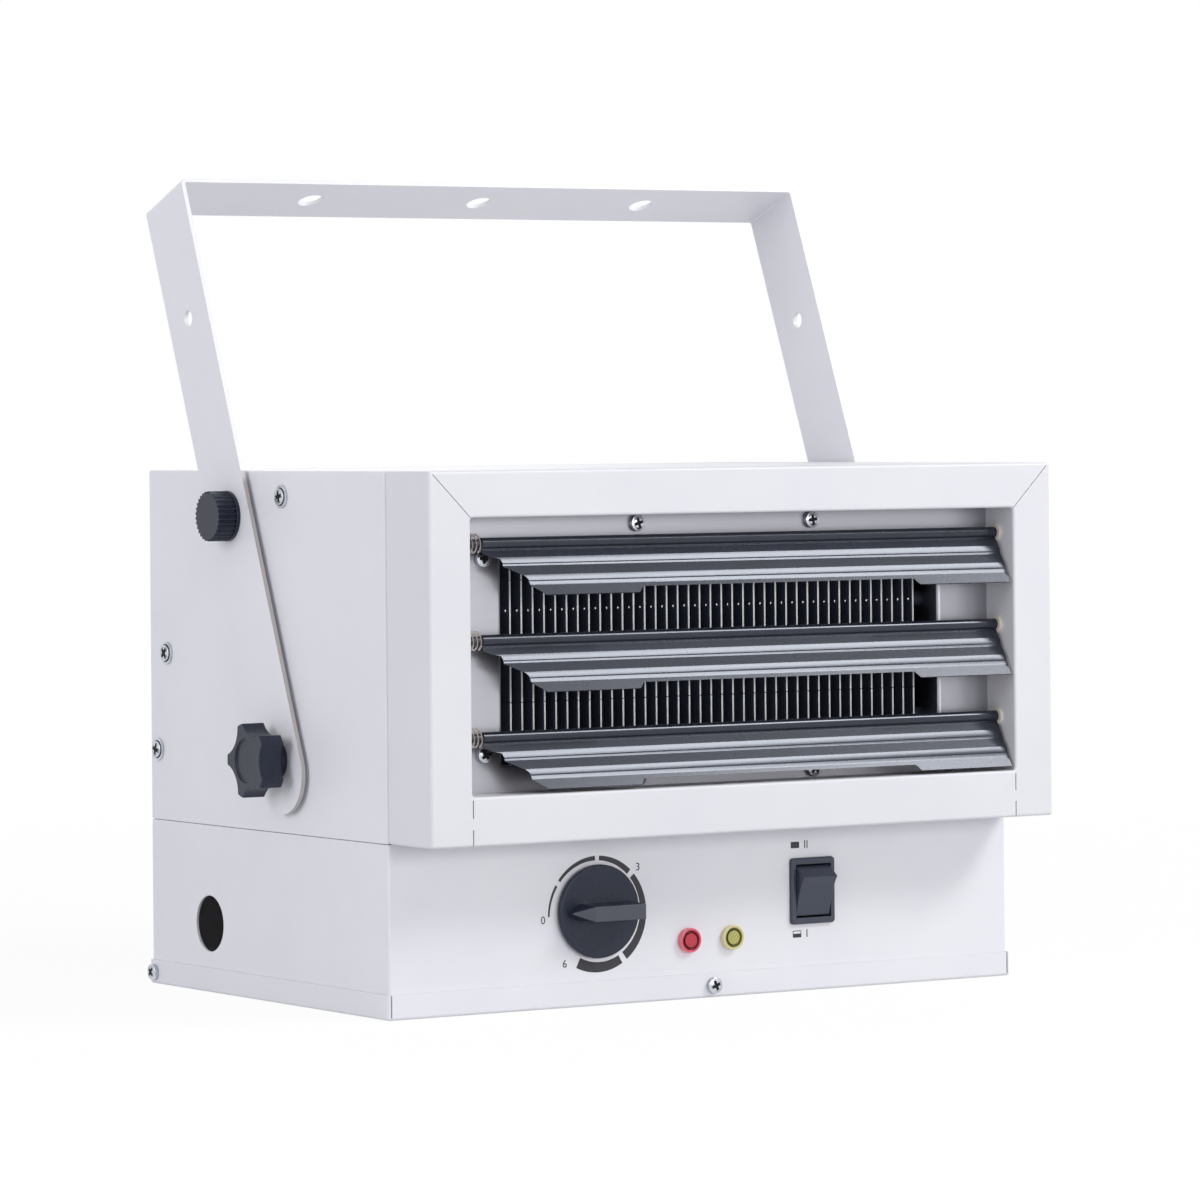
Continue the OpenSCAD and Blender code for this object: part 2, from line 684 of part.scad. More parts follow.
module motor_stator() color("firebrick") facing_back(0, motor_y + 12, fan_z) difference() {
    cylinder(r = motor_r - casing_wall - nest, h = motor_len - 26);
    translate([0, 0, -1]) cylinder(r = stator_in_r, h = motor_len);
}

module motor_shaft() color("silver") {
    facing_back(0, fan_y - 4, fan_z) cylinder(r = shaft_r, h = motor_back_y - fan_y + 4 - 1);
    facing_back(0, motor_y + 13, fan_z) cylinder(r = stator_in_r - 0.6, h = motor_len - 28);
    facing_back(0, fan_y - 4 - 3, fan_z) cylinder(r = shaft_r + 3, h = 6);
}

module motor_mount() color("silver") difference() {
    union() {
        span([-mount_w / 2, motor_back_y, seam_h], [mount_w / 2, motor_back_y + mount_t, roof_z]);
        span([-mount_w / 2, motor_back_y, seam_h], [mount_w / 2, motor_back_y + mount_foot, seam_h + mount_t]);
        span([-mount_w / 2, motor_back_y, roof_z - mount_t], [mount_w / 2, motor_back_y + mount_foot, roof_z]);
    }
    facing_back(0, motor_back_y - 1, fan_z) cylinder(r = bearing_r + 2, h = mount_t + 2);
    for (a = [45 : 90 : 315]) translate([motor_screw_r * cos(a), motor_back_y + mount_t, fan_z + motor_screw_r * sin(a)])
        rotate([-90, 0, 0]) screw_hole();
}

module motor_screws() color("silver") for (a = [45 : 90 : 315])
    facing_back(motor_screw_r * cos(a), motor_back_y + mount_t, fan_z + motor_screw_r * sin(a)) pan_screw();

module fan_guard() color("silver") facing_back(0, back_y, fan_z) {
    for (r = [12 : 11 : guard_r + 2]) translate([0, 0, guard_wire * 2.8]) rotate_extrude()
        translate([r, 0]) circle(r = guard_wire, $fn = 16);
    for (a = [45 : 90 : 315]) rotate([0, 0, a]) {
        translate([10, 0, guard_wire + 0.15]) rotate([0, 90, 0]) cylinder(r = guard_wire, h = guard_r - 6);
        difference() {
            translate([guard_r + 8, 0, 0]) cylinder(r = 6, h = guard_eye_t);
            translate([guard_r + 8, 0, -1]) cylinder(r = shank_r + screw_fit, h = 6);
        }
    }
}

module guard_screws() color("silver") for (p = guard_screw_points)
    facing_back(p[0], back_y + guard_eye_t, fan_z + p[1]) pan_screw();

// ---- Controls ----

module thermostat_body() color("tan") difference() {
    union() {
        span([-dial_x - thermostat_w / 2, panel_in_y, dial_z - thermostat_w / 2],
            [-dial_x + thermostat_w / 2, panel_in_y + thermostat_d, dial_z + thermostat_w / 2 - 8]);
        facing_front(-dial_x, panel_in_y + 1, dial_z) cylinder(r = bushing_r, h = 1 + sheet + bushing_out);
        for (s = [-1, 1]) span([-dial_x + s * 12 - 3, panel_in_y + thermostat_d - 1, dial_z - 4],
            [-dial_x + s * 12 + 3, panel_in_y + thermostat_d + 8, dial_z - 3]);
    }
    facing_back(-dial_x, front_y - 5, dial_z) cylinder(r = spindle_r + run, h = 5 + spindle_in + 1);
}

// Bulb under the partition, near the air slots of the back panel, on a thin pipe
bulb_x = -40;
bulb_z = 66;
bulb_r = 3.2;

module thermostat_bulb() color("peru") {
    top = dial_z + thermostat_w / 2 - 8;
    tube([[-dial_x, panel_in_y + 20, top], [-dial_x, panel_in_y + 20, bulb_z - 1],
        [-dial_x - 6, panel_in_y + 40, bulb_z], [bulb_x, 30, bulb_z], [bulb_x, 60, bulb_z]], 0.9);
    facing_back(bulb_x, 58, bulb_z) cylinder(r = bulb_r, h = 48);
    // clip that holds the bulb to the partition
    difference() {
        span([bulb_x - 5, 80, bulb_z - 1], [bulb_x + 5, 86, deck_z]);
        facing_back(bulb_x, 79, bulb_z) cylinder(r = bulb_r - 0.1, h = 8);
    }
}

module lamp_lens(x) facing_front(x, front_y, lamp_z) {
    cylinder(r = lens_r, h = 1.6);
    translate([0, 0, 1.6 - eps]) cylinder(r1 = lens_r, r2 = lens_r - 1.5, h = 1.6);
    translate([0, 0, 3]) cylinder(r1 = lens_r - 1.3, r2 = lens_r - 2.6, h = 1);
    translate([0, 0, -sheet - 8]) cylinder(r = lamp_stem_r, h = sheet + 9);
}

module red_lens() color("crimson") lamp_lens(red_lamp_x);
module amber_lens() color("khaki") lamp_lens(amber_lamp_x);

module lamp_holders() color("black") for (x = [red_lamp_x, amber_lamp_x])
    facing_back(x, panel_in_y, lamp_z) difference() {
        union() {
            cylinder(r = lamp_holder_r, h = 16);
            for (s = [-1, 1]) span([s * 3 - 1.5, -0.4, 15], [s * 3 + 1.5, 0.4, 22]);
        }
        translate([0, 0, -1]) cylinder(r = lamp_stem_r + nest, h = 9 + nest + 1);
    }

module rounded_plate(w, h, t, r) {
    for (x = [-1, 1], z = [-1, 1]) translate([x * (w / 2 - r), z * (h / 2 - r), 0]) cylinder(r = r, h = t);
    translate([-w / 2 + r, -h / 2, 0]) cube([w - 2 * r, h, t]);
    translate([-w / 2, -h / 2 + r, 0]) cube([w, h - 2 * r, t]);
}

module switch_housing() color("black") difference() {
    union() {
        facing_front(switch_x, front_y, switch_z) rounded_plate(bezel_w, bezel_h, bezel_t, 1.6);
        span([switch_x - switch_w / 2, front_y - 1, switch_z - switch_h / 2],
            [switch_x + switch_w / 2, front_y + switch_d, switch_z + switch_h / 2]);
    }
    span([switch_x - rocker_w / 2 - 0.3, front_y - bezel_t - 1, switch_z - rocker_half - 0.9],
        [switch_x + rocker_w / 2 + 0.3, front_y + 13, switch_z + rocker_half + 0.9]);
    translate([switch_x, rocker_y, switch_z]) rotate([0, 90, 0])
        cylinder(r = trunnion_r + run, h = rocker_w + 1.6, center = true);
}

module switch_rocker() color("black") translate([switch_x, rocker_y, switch_z]) {
    rotate([rocker_tilt, 0, 0]) rotate([90, 0, 90]) linear_extrude(height = rocker_w, center = true)
        polygon([[2, -rocker_half], [-2.6, -rocker_half], [-rocker_rise, -rocker_half + 2.7], [-4.2, 0],
            [-rocker_rise, rocker_half - 2.7], [-2.6, rocker_half], [2, rocker_half], [8, 6], [8, -6]]);
    rotate([0, 90, 0]) cylinder(r = trunnion_r, h = rocker_w + 1.2, center = true);
}

module switch_tabs() color("goldenrod") for (z = [-9, 0, 9], x = [-5, 5])
    translate([switch_x + x, front_y + switch_d + tab_len / 2, switch_z + z])
        cube([0.8, tab_len, 6], center = true);

module thermostat_knob() color("dimgray") facing_front(-dial_x, front_y - knob_gap, dial_z) difference() {
    union() {
        cylinder(r = dial_r, h = dial_t - 1.2);
        translate([0, 0, dial_t - 1.2 - eps]) cylinder(r1 = dial_r, r2 = dial_r - 1.2, h = 1.2 + eps);
        // grip bar with a pointed nose towards the dial marks
        translate([0, 0, dial_t - 1]) linear_extrude(height = grip_h + 1)
            polygon([[-grip_half, 0], [-grip_half + 6.8, grip_w / 2], [grip_half - 1.5, grip_w / 2],
                [grip_half, grip_w / 2 - 1.5], [grip_half, -grip_w / 2 + 1.5],
                [grip_half - 1.5, -grip_w / 2], [-grip_half + 6.8, -grip_w / 2]]);
    }
    translate([0, 0, -1]) cylinder(r = spindle_r + press, h = bore_depth + 1);
    translate([0, 0, -1]) cylinder(r = bushing_r + 1, h = bushing_out - knob_gap + 1.6);
    translate([0, 0, -1]) difference() {
        cylinder(r = dial_r - 2, h = dial_t - 0.8);
        cylinder(r = bushing_r + 4, h = dial_t);
    }
}

module thermostat_spindle() color("silver") facing_back(-dial_x, front_y - knob_gap - bore_depth, dial_z)
    cylinder(r = spindle_r, h = bore_depth + knob_gap + spindle_in);

// Screws of the terminal block: the leads start on their heads
block_pitch = 11;
block_x = -118;
block_y = 34;
block_step_z = 12;
block_w = 26;
block_len = 4 * block_pitch + 2;
block_h = block_step_z + 10;
block_slot = 7;
block_inset = 7;
block_head_r = 2.6;
block_head_h = 3;
function block_screw(k, x) = [block_x + x, block_y + 6.5 + k * block_pitch, block_step_z];

module terminal_block() color("ivory") {
    difference() {
        span([block_x, block_y, sheet], [block_x + block_w, block_y + block_len, block_h]);
        for (k = [0 : 3]) translate(block_screw(k, -1) - [0, block_slot / 2, 0])
            cube([block_w + 2, block_slot, block_h]);
    }
    for (k = [0 : 3], x = [block_inset, block_w - block_inset])
        translate(block_screw(k, x) - [0, 0, eps]) cylinder(r = block_head_r, h = block_head_h + eps);
}

module ground_stud() color("goldenrod") translate([-140, 92, sheet]) {
    cylinder(r = 5, h = 3, $fn = 6);
    cylinder(r = 2.5, h = 14);
    translate([0, 0, 6]) cylinder(r = 5, h = 3, $fn = 6);
}

module wire_grommet() color("black") translate([grommet_x, grommet_y, deck_z - 2]) difference() {
    union() {
        cylinder(r = grommet_r, h = sheet + 4);
        cylinder(r = grommet_r + 2, h = 2);
        translate([0, 0, sheet + 2]) cylinder(r = grommet_r + 2, h = 2);
    }
    translate([0, 0, -1]) cylinder(r = grommet_r - 2, h = sheet + 6);
}

// Leads from the block to the switch and the thermostat, and up through the grommet
lead_r = 1.5;
module lead_from(k, points) tube(concat([
    block_screw(k, block_w - block_inset) + [0, 0, block_head_h],
    block_screw(k, block_w - block_inset) + [0, 0, block_head_h + 11]], points), lead_r);

module internal_leads() color("red") {
    lead_from(0, [[-60, 10, 30], [-20, -40, 34], [switch_x - 12, -72, 44],
        [switch_x - 5, front_y + switch_d + 20, switch_z],
        [switch_x - 5, front_y + switch_d + tab_len, switch_z]]);
    lead_from(1, [[-88, 30, 34], [-dial_x - 14, -40, 38],
        [-dial_x - 12, panel_in_y + thermostat_d + 22, dial_z - 3.5],
        [-dial_x - 12, panel_in_y + thermostat_d + 8, dial_z - 3.5]]);
    lead_from(2, [[-120, 30, 36], [grommet_x - 4, grommet_y + 8, 56], [grommet_x - 4, grommet_y, 72],
        [grommet_x - 4, grommet_y, seam_h + 10], [bus_x - 4, leg_y0, element_z(3) - 24],
        [bus_x - 0.5, leg_y0, element_z(3) - 16], [bus_x - 0.5, leg_y0, element_z(3) - 6]]);
    lead_from(3, [[-126, 46, 44], [grommet_x + 3, grommet_y + 12, 60], [grommet_x + 3, grommet_y + 4, 72],
        [grommet_x + 3, grommet_y + 4, seam_h + 8], [bus_x - 2, leg_y0 + leg_pitch, element_z(3) - 20],
        [bus_x - 0.5, leg_y0 + leg_pitch, element_z(3) - 14],
        [bus_x - 0.5, leg_y0 + leg_pitch, element_z(3) - 6]]);
}

// ---- Fasteners ----

// Riveted studs that carry the arms and the star knobs
module pivot_studs() color("silver") for (s = [-1, 1]) facing_side(s, side_x, pivot_y, pivot_z) {
    cylinder(r = rivet_head_r, h = rivet_head_t);
    translate([0, 0, -rivet_len]) cylinder(r = rivet_r, h = rivet_len + eps);
    cylinder(r = star_stud_r, h = stud_out);
}

module pivot_washers() color("black") for (s = [-1, 1])
    facing_side(s, side_x, pivot_y, pivot_z) difference() {
        cylinder(r = pivot_washer_r, h = arm_gap - face);
        translate([0, 0, -1]) cylinder(r = rivet_head_r + nest, h = arm_gap + 2);
    }

module louver_bushes() color("ivory") for (i = [0 : 2])
    facing_left(win_x, louver_y, louver_z(i)) difference() {
        union() {
            cylinder(r = bush_r + 1.2, h = bush_collar);
            translate([0, 0, -sheet - 1]) cylinder(r = bush_r, h = sheet + 1 + eps);
        }
        translate([0, 0, -sheet - 2]) cylinder(r = rod_r + run, h = bush_collar + sheet + 4);
    }

// Screws with a captive washer
module side_screws() color("silver") for (s = [-1, 1], p = side_points) facing_side(s, side_x, p[0], p[1]) {
    cylinder(r = washer_r, h = washer_t);
    translate([0, 0, washer_t - eps]) rotate([0, 0, 20 * p[1]]) pan_screw(shank_len + washer_t);
}

module base_screws() color("silver") {
    facing_front(front_screw_x, tray_front, tray_screw_z) pan_screw();
    for (s = [-1, 1]) facing_side(s, tray_out, tray_screw_y, tray_screw_z) pan_screw();
}

module liner_screws() color("silver") for (p = liner_screw_points)
    facing_front(p[0], liner_y, p[1]) pan_screw(5);

module frame_screws() color("silver") for (p = frame_screw_points)
    facing_back(p[0], front_y + seam_gap + sheet, p[1]) pan_screw(5);

// ---- Mounting bracket and hand knobs ----

// Strap frame: the origin is the pivot, Z runs up the arms and Y across them
module on_bracket() translate([0, pivot_y, pivot_z]) rotate([-lean, 0, 0]) children();

module strap_bend(s) translate([s * (arm_out - bend_r - strap_t), 0, strap_h - bend_r - strap_t])
    rotate([90, 0, 0]) intersection() {
        difference() {
            cylinder(r = bend_r + strap_t, h = strap_w, center = true);
            cylinder(r = bend_r, h = strap_w + 2, center = true);
        }
        translate([s > 0 ? 0 : -20, 0, -strap_w]) cube([20, 20, 2 * strap_w]);
    }

module mounting_bracket() color("white") on_bracket() difference() {
    union() {
        for (s = [-1, 1]) {
            span([min(s * arm_in, s * arm_out), -strap_w / 2, arm_end_r - arm_tail],
                [max(s * arm_in, s * arm_out), strap_w / 2, strap_h - bend_r - strap_t]);
            translate([s * (arm_in + strap_t / 2), 0, arm_end_r - arm_tail]) rotate([0, 90, 0])
                cylinder(r = arm_end_r, h = strap_t, center = true);
            strap_bend(s);
        }
        span([-arm_out + bend_r + strap_t, -strap_w / 2, strap_h - strap_t],
            [arm_out - bend_r - strap_t, strap_w / 2, strap_h]);
    }
    for (s = [-1, 1]) {
        facing_side(s, arm_in - 1, 0, 0) cylinder(r = star_stud_r + run, h = strap_t + 2);
        facing_side(s, arm_in - 1, 0, thumb_h) cylinder(r = thumb_stud_r + run, h = strap_t + 2);
        facing_side(s, arm_in - 1, 0, spare_hole_h) cylinder(r = spare_hole_r, h = strap_t + 2);
    }
    for (k = [-1 : 1]) translate([k * ceiling_pitch, 0, strap_h - strap_t - 1])
        cylinder(r = ceiling_hole_r, h = strap_t + 2);
}

module star_knob(s) facing_side(s, arm_out + face, pivot_y, pivot_z) difference() {
    union() {
        cylinder(r = star_neck_r, h = star_hub_h);
        translate([0, 0, star_hub_h - eps]) linear_extrude(height = star_t) difference() {
            circle(r = star_r);
            for (k = [0 : star_lobes - 1]) rotate(90 + (k + 0.5) * 360 / star_lobes)
                translate([scoop_bottom + scoop_r, 0]) circle(r = scoop_r);
        }
    }
    translate([0, 0, star_hub_h + star_t - 1]) cylinder(r = star_dish_r, h = 2);
    translate([0, 0, -1]) cylinder(r = star_stud_r + run, h = star_hub_h + stud_grip + 1.5);
}

module star_knob_left() color("dimgray") star_knob(-1);
module star_knob_right() color("dimgray") star_knob(1);

module thumb_screw(s) on_bracket() facing_side(s, arm_out + face, 0, thumb_h) {
    cylinder(r = thumb_r + 1, h = thumb_collar);
    translate([0, 0, thumb_collar - eps]) {
        cylinder(r = thumb_r, h = thumb_t);
        for (a = [0 : 10 : 350]) rotate([0, 0, a]) translate([thumb_r, 0, rib_r])
            cylinder(r = rib_r, h = thumb_t - 2 * rib_r, $fn = 8);
    }
    reach = arm_out - side_x;
    translate([0, 0, -reach]) cylinder(r = thumb_stud_r, h = reach + 1);
}

module thumb_screw_left() color("dimgray") thumb_screw(-1);
module thumb_screw_right() color("dimgray") thumb_screw(1);

// ---- Louvers ----

// Middle line of the blade behind and below the pivot, in Y and Z
blade_line = [[-0.8, -2.4], [-1.7, -5.7], [-6, -9.4], [-7.2, -13.8], [-12, -18.3], [-13.4, -23.9]];
lip_z = blade_line[5][1];

// The line's corners moved sideways by d, each on its own mitre
function line_dir(line, i) = unit(line[i + 1] - line[i]);
function moved_corner(line, i, d) = let (
    a = line_dir(line, max(i - 1, 0)),
    b = line_dir(line, min(i, len(line) - 2)),
    m = unit([-a.y - b.y, a.x + b.x]))
    line[i] + m * d / (m * [-b.y, b.x]);

module blade_profile() difference() {
    union() {
        circle(r = louver_tube_r);
        polygon(concat(
            [for (i = [0 : 5]) moved_corner(blade_line, i, louver_t / 2)],
            [for (i = [5 : -1 : 0]) moved_corner(blade_line, i, -louver_t / 2)]));
    }
    circle(r = rod_r + run);
}

// Left edge: steps to the right under the spring, so that the blade clears it
module louver_left_cut(x) translate([x, 20, 0]) rotate([90, 0, 0]) linear_extrude(height = 60)
    polygon([[-1, -4.8], [0, -4.8], [4.5, -7.4], [8, -7.6], [9.6, -10.6], [19.2, -15], [21.3, -19.2],
        [25.5, lip_z + 0.6], [26.5, lip_z - 2], [-1, lip_z - 2]]);

module louver(i) translate([0, louver_y, louver_z(i)]) difference() {
    translate([louver_x0, 0, 0]) rotate([90, 0, 90])
        linear_extrude(height = louver_x1 - louver_x0) blade_profile();
    louver_left_cut(louver_x0);
    // shallower middle of the lip, between two deeper ends
    translate([0, 20, lip_z]) rotate([90, 0, 0]) linear_extrude(height = 60) polygon([
        [louver_x0 + 26 + lip_tab, -2], [louver_x0 + 26 + lip_tab + lip_step + 2, lip_step],
        [louver_x1 - lip_tab - lip_step - 2, lip_step], [louver_x1 - lip_tab, -2]]);
}

module louver_upper() color("darkslategray") louver(0);
module louver_middle() color("darkslategray") louver(1);
module louver_lower() color("darkslategray") louver(2);

module louver_rod(i) translate([-win_x - rod_over, louver_y, louver_z(i)]) rotate([0, 90, 0])
    cylinder(r = rod_r, h = 2 * (win_x + rod_over));

module louver_rods() color("silver") for (i = [0 : 2]) louver_rod(i);

// Spring round the rod: straight end, helix, straight end
rings_per_turn = 8;
end_angle = 256;
spring_x0 = -win_x + face;
spring_x1 = louver_x0;
straight = 2 * wire_r;
coil_len = spring_x1 - spring_x0 - 2 * straight;
function helix_point(turn) = [
    spring_x0 + straight + coil_len * turn / coil_turns,
    coil_r * cos(end_angle + 360 * turn),
    coil_r * sin(end_angle + 360 * turn)
];
helix = [for (k = [0 : coil_turns * rings_per_turn]) helix_point(k / rings_per_turn)];
helix_last = len(helix) - 1;
spring_path = concat([helix[0] - [straight, 0, 0]], helix, [helix[helix_last] + [straight, 0, 0]]);
turn_gaps = [for (i = [0 : helix_last]) for (k = [i + rings_per_turn - 2 : 1 : helix_last])
    norm(helix[k] - helix[i]) - 2 * wire_r];
echo(least_gap_between_spring_turns = min(turn_gaps));

module louver_spring(i) color("rosybrown") translate([0, louver_y, louver_z(i)])
    tube(spring_path, wire_r, [0, cos(end_angle), sin(end_angle)]);

module louver_spring_upper() louver_spring(0);
module louver_spring_middle() louver_spring(1);
module louver_spring_lower() louver_spring(2);

cabinet_shell();
front_frame();
back_panel();
control_box();
bottom_tray();
partition_plate();
liner_plate();
element_housing();
heating_element_1();
heating_element_2();
heating_element_3();
heating_element_4();
terminal_insulators();
bus_bars();
terminal_nuts();
fan_shroud();
fan_guard();
motor_mount();
motor_casing();
motor_end_cap();
motor_stator();
motor_bearings();
motor_screws();
thermostat_body();
thermostat_bulb();
limit_switch();
red_lens();
amber_lens();
lamp_holders();
switch_housing();
switch_tabs();
terminal_block();
ground_stud();
wire_grommet();
internal_leads();
pivot_studs();
pivot_washers();
louver_bushes();
side_screws();
base_screws();
liner_screws();
frame_screws();
guard_screws();
mounting_bracket();
star_knob_left();
star_knob_right();
thumb_screw_left();
thumb_screw_right();
louver_upper();
louver_middle();
louver_lower();
louver_rods();
louver_spring_upper();
louver_spring_middle();
louver_spring_lower();
fan_blades();
motor_shaft();
thermostat_knob();
thermostat_spindle();
switch_rocker();
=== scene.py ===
"""Ceiling mounted fan heater: pressed white sheet steel, charcoal louvers, black elements.
Lengths below are in millimetres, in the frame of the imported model."""

import json
import math

import bmesh
import bpy
from mathutils import Matrix, Vector


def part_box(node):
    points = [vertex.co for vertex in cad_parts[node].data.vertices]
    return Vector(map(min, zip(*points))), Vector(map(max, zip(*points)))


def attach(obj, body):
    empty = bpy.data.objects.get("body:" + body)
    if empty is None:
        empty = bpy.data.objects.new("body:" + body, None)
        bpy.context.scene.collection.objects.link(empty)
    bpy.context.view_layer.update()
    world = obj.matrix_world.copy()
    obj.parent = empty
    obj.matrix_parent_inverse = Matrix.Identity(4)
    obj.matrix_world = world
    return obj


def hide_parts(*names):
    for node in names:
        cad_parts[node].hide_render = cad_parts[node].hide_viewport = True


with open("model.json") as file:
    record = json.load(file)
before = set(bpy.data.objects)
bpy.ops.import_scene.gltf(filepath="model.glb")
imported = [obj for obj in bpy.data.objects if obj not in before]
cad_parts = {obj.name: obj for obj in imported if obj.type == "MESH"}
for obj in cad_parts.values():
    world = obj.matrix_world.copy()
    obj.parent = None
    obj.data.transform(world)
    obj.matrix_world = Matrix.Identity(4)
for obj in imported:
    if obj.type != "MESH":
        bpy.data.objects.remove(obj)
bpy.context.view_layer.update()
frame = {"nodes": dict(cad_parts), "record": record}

MM = 0.001
FACING_IT = 0.9  # share of a normal from which a face counts as facing that way

# ---- The heater's sizes ----

SHEET = 1.2
FOLD_R = 1.4
SIDE_X = 180.0
FRONT_Y, BACK_Y = -116.5, 116.5
FRAME_Y, FRAME_Z = -156.5, 82.7
WIN_X, WIN_FOOT, WIN_TOP = 157.3, 105.9, 235.9
LINER_Y = -133.5
LINER_WIN = (127.0, 118.5, 222.5)  # half width, foot, top
TOP_Z, SEAM_Z, SHELL_Z = 258.0, 82.4, 82.8
RIM = 12.0
PIVOT = (-20.5, 118.5)  # y, z
LEAN = math.radians(22)
ARM_IN, ARM_OUT, ARM_TAIL = 181.5, 184.5, 27.0
STRAP_H, STRAP_W, STRAP_WALL, STRAP_BEND = 299.0, 40.0, 2.2, 3.2
THUMB_H, SPARE_H = 126.4, 231.5
CEILING_X = 100
TOUCH = 0.1  # gap between faces that meet
LOUVER_Y = -142.5
LOUVER_Z = {"upper": 223.6, "middle": 178.0, "lower": 132.4}
LOUVER_X = (-144.0, 155.4)
FAN_Z = 170.2
SIDE_POINTS = [(-18.4, 245.4), (99.3, 166.4), (108.9, 117.9)]
LINER_POINTS = [(x, z) for x in (-50.7, 50.7) for z in (231.6, 110.2)] + [
    (x, z) for x in (-137.6, 137.6) for z in (216.3, 123.9)]
DIAL = (-64.5, 45.4)
DIAL_RING = (-63.8, 43.9)
LAMPS = {"red_lens": -11.7, "amber_lens": 13.3}
LAMP_Z = 28.5
SWITCH = (61.2, 48.9)
LENS_R, LENS_STEM_R, LENS_GRID_R = 6.0, 4.9, 3.2
BEZEL_X, BEZEL_Z, BEZEL_T = 13, 16.3, 2.2
TRAY_GROW = 1.3
TRAY_SCREW_X, TRAY_SCREW_Y, TRAY_SCREW_Z = 2, 112.7, 5.9
SCREW_HOLE_R, PIVOT_HOLE_R, ROD_HOLE_R, BUSH_HOLE_R = 2.0, 5.6, 2.05, 3.3
KNOCKOUT, KNOCKOUT_R = (57.4, 33.8), 13.9
FIN_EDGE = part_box("heating_element_1")[0][1] / MM + 0.12


# ---- Modelling by hand ----

def leave():
    """Ends editing."""
    bpy.ops.object.mode_set(mode="OBJECT")


def deselect():
    if bpy.context.mode != "OBJECT":
        leave()
    bpy.ops.object.select_all(action="DESELECT")


def only(piece):
    deselect()
    piece.select_set(True)
    bpy.context.view_layer.objects.active = piece
    return piece


def settle(name):
    """Names the new object and puts its place into its mesh."""
    piece = bpy.context.view_layer.objects.active
    piece.name = piece.data.name = name
    only(piece)
    bpy.ops.object.transform_apply(location=True, rotation=True, scale=True)
    return piece


def mm(point):
    return tuple(v * MM for v in point)


def shift(point):
    return Matrix.Translation(mm(point))


def polar(radius, angle):
    turn = math.radians(angle)
    return radius * math.cos(turn), radius * math.sin(turn)


def link(made):
    bpy.context.scene.collection.objects.link(made)


def block(name, low, high):
    deselect()
    centre = [(a + b) / 2 * MM for a, b in zip(low, high)]
    size = [abs(b - a) * MM for a, b in zip(low, high)]
    bpy.ops.mesh.primitive_cube_add(size=1, location=centre, scale=size)
    return settle(name)


TURNS = {"X": (0, math.pi / 2, 0), "Y": (math.pi / 2, 0, 0), "Z": (0, 0, 0)}


def drum(name, centre, radius, depth, axis="Z", sides=48):
    """A cylinder centred on a point."""
    deselect()
    bpy.ops.mesh.primitive_cylinder_add(vertices=sides, radius=radius * MM, depth=depth * MM,
                                        location=mm(centre), rotation=TURNS[axis])
    return settle(name)


def edit(piece, kind):
    only(piece)
    bpy.ops.object.mode_set(mode="EDIT")
    bpy.ops.mesh.select_mode(type=kind)
    bpy.ops.mesh.select_all(action="DESELECT")
    return bmesh.from_edit_mesh(piece.data)


def pick_faces(piece, test):
    """Selects the faces whose centre in millimetres and normal pass the test."""
    mesh = edit(piece, "FACE")
    for face in mesh.faces:
        if test(face.calc_center_median() / MM, face.normal):
            face.select_set(True)
    bmesh.update_edit_mesh(piece.data)


def pick_edges(piece, test):
    """Selects the edges whose two ends in millimetres pass the test."""
    mesh = edit(piece, "EDGE")
    for edge in mesh.edges:
        if test(edge.verts[0].co / MM, edge.verts[1].co / MM):
            edge.select_set(True)
    bmesh.update_edit_mesh(piece.data)


def pick_points(piece, test):
    mesh = edit(piece, "VERT")
    for point in mesh.verts:
        if test(point.co / MM):
            point.select_set(True)
    bmesh.update_edit_mesh(piece.data)


def pick_all():
    bpy.ops.mesh.select_all(action="SELECT")


def on_top(centre, normal):
    return normal.z > FACING_IT


def in_front(centre, normal):
    return normal.y < -FACING_IT


def near(a, b, reach=0.01):
    return abs(a - b) < reach


def delete():
    bpy.ops.mesh.delete(type="FACE")


def pull(x=0.0, y=0.0, z=0.0):
    """Extrudes what is selected by a distance."""
    bpy.ops.mesh.extrude_region_move(TRANSFORM_OT_translate={"value": mm((x, y, z))})


def move(x=0.0, y=0.0, z=0.0):
    bpy.ops.transform.translate(value=mm((x, y, z)))


def stretch(factors, centre):
    bpy.ops.transform.resize(value=factors, center_override=mm(centre))


def inset(width):
    bpy.ops.mesh.inset(thickness=width * MM)


def bevel(width, segments):
    bpy.ops.mesh.bevel(offset=width * MM, segments=segments)


def modify(piece, kind, **settings):
    only(piece)
    modifier = piece.modifiers.new(kind.lower(), kind)
    for key, value in settings.items():
        setattr(modifier, key, value)
    bpy.ops.object.modifier_apply(modifier=modifier.name)
    return piece


def soften(piece, width, segments=3, angle=30):
    return modify(piece, "BEVEL", width=width * MM, segments=segments, limit_method="ANGLE",
                  angle_limit=math.radians(angle), use_clamp_overlap=True, miter_outer="MITER_ARC")


def thicken(piece, wall=SHEET, offset=-1.0):
    return modify(piece, "SOLIDIFY", thickness=wall * MM, offset=offset, use_even_offset=True,
                  use_quality_normals=True)


def cut(piece, *cutters, how="DIFFERENCE"):
    for cutter in cutters:
        modify(piece, "BOOLEAN", operation=how, solver="MANIFOLD", object=cutter)
        bpy.data.objects.remove(cutter)
    return piece


def join(name, pieces):
    deselect()
    for piece in pieces:
        piece.select_set(True)
    bpy.context.view_layer.objects.active = pieces[0]
    if len(pieces) > 1:
        bpy.ops.object.join()
    piece = bpy.context.view_layer.objects.active
    piece.name = piece.data.name = name
    return piece


def copy_of(piece, name, place=Matrix()):
    """A copy with its own mesh, moved by a matrix in metres."""
    twin = bpy.data.objects.new(name, piece.data.copy())
    twin.data.name = name
    twin.data.transform(place)
    link(twin)
    return twin


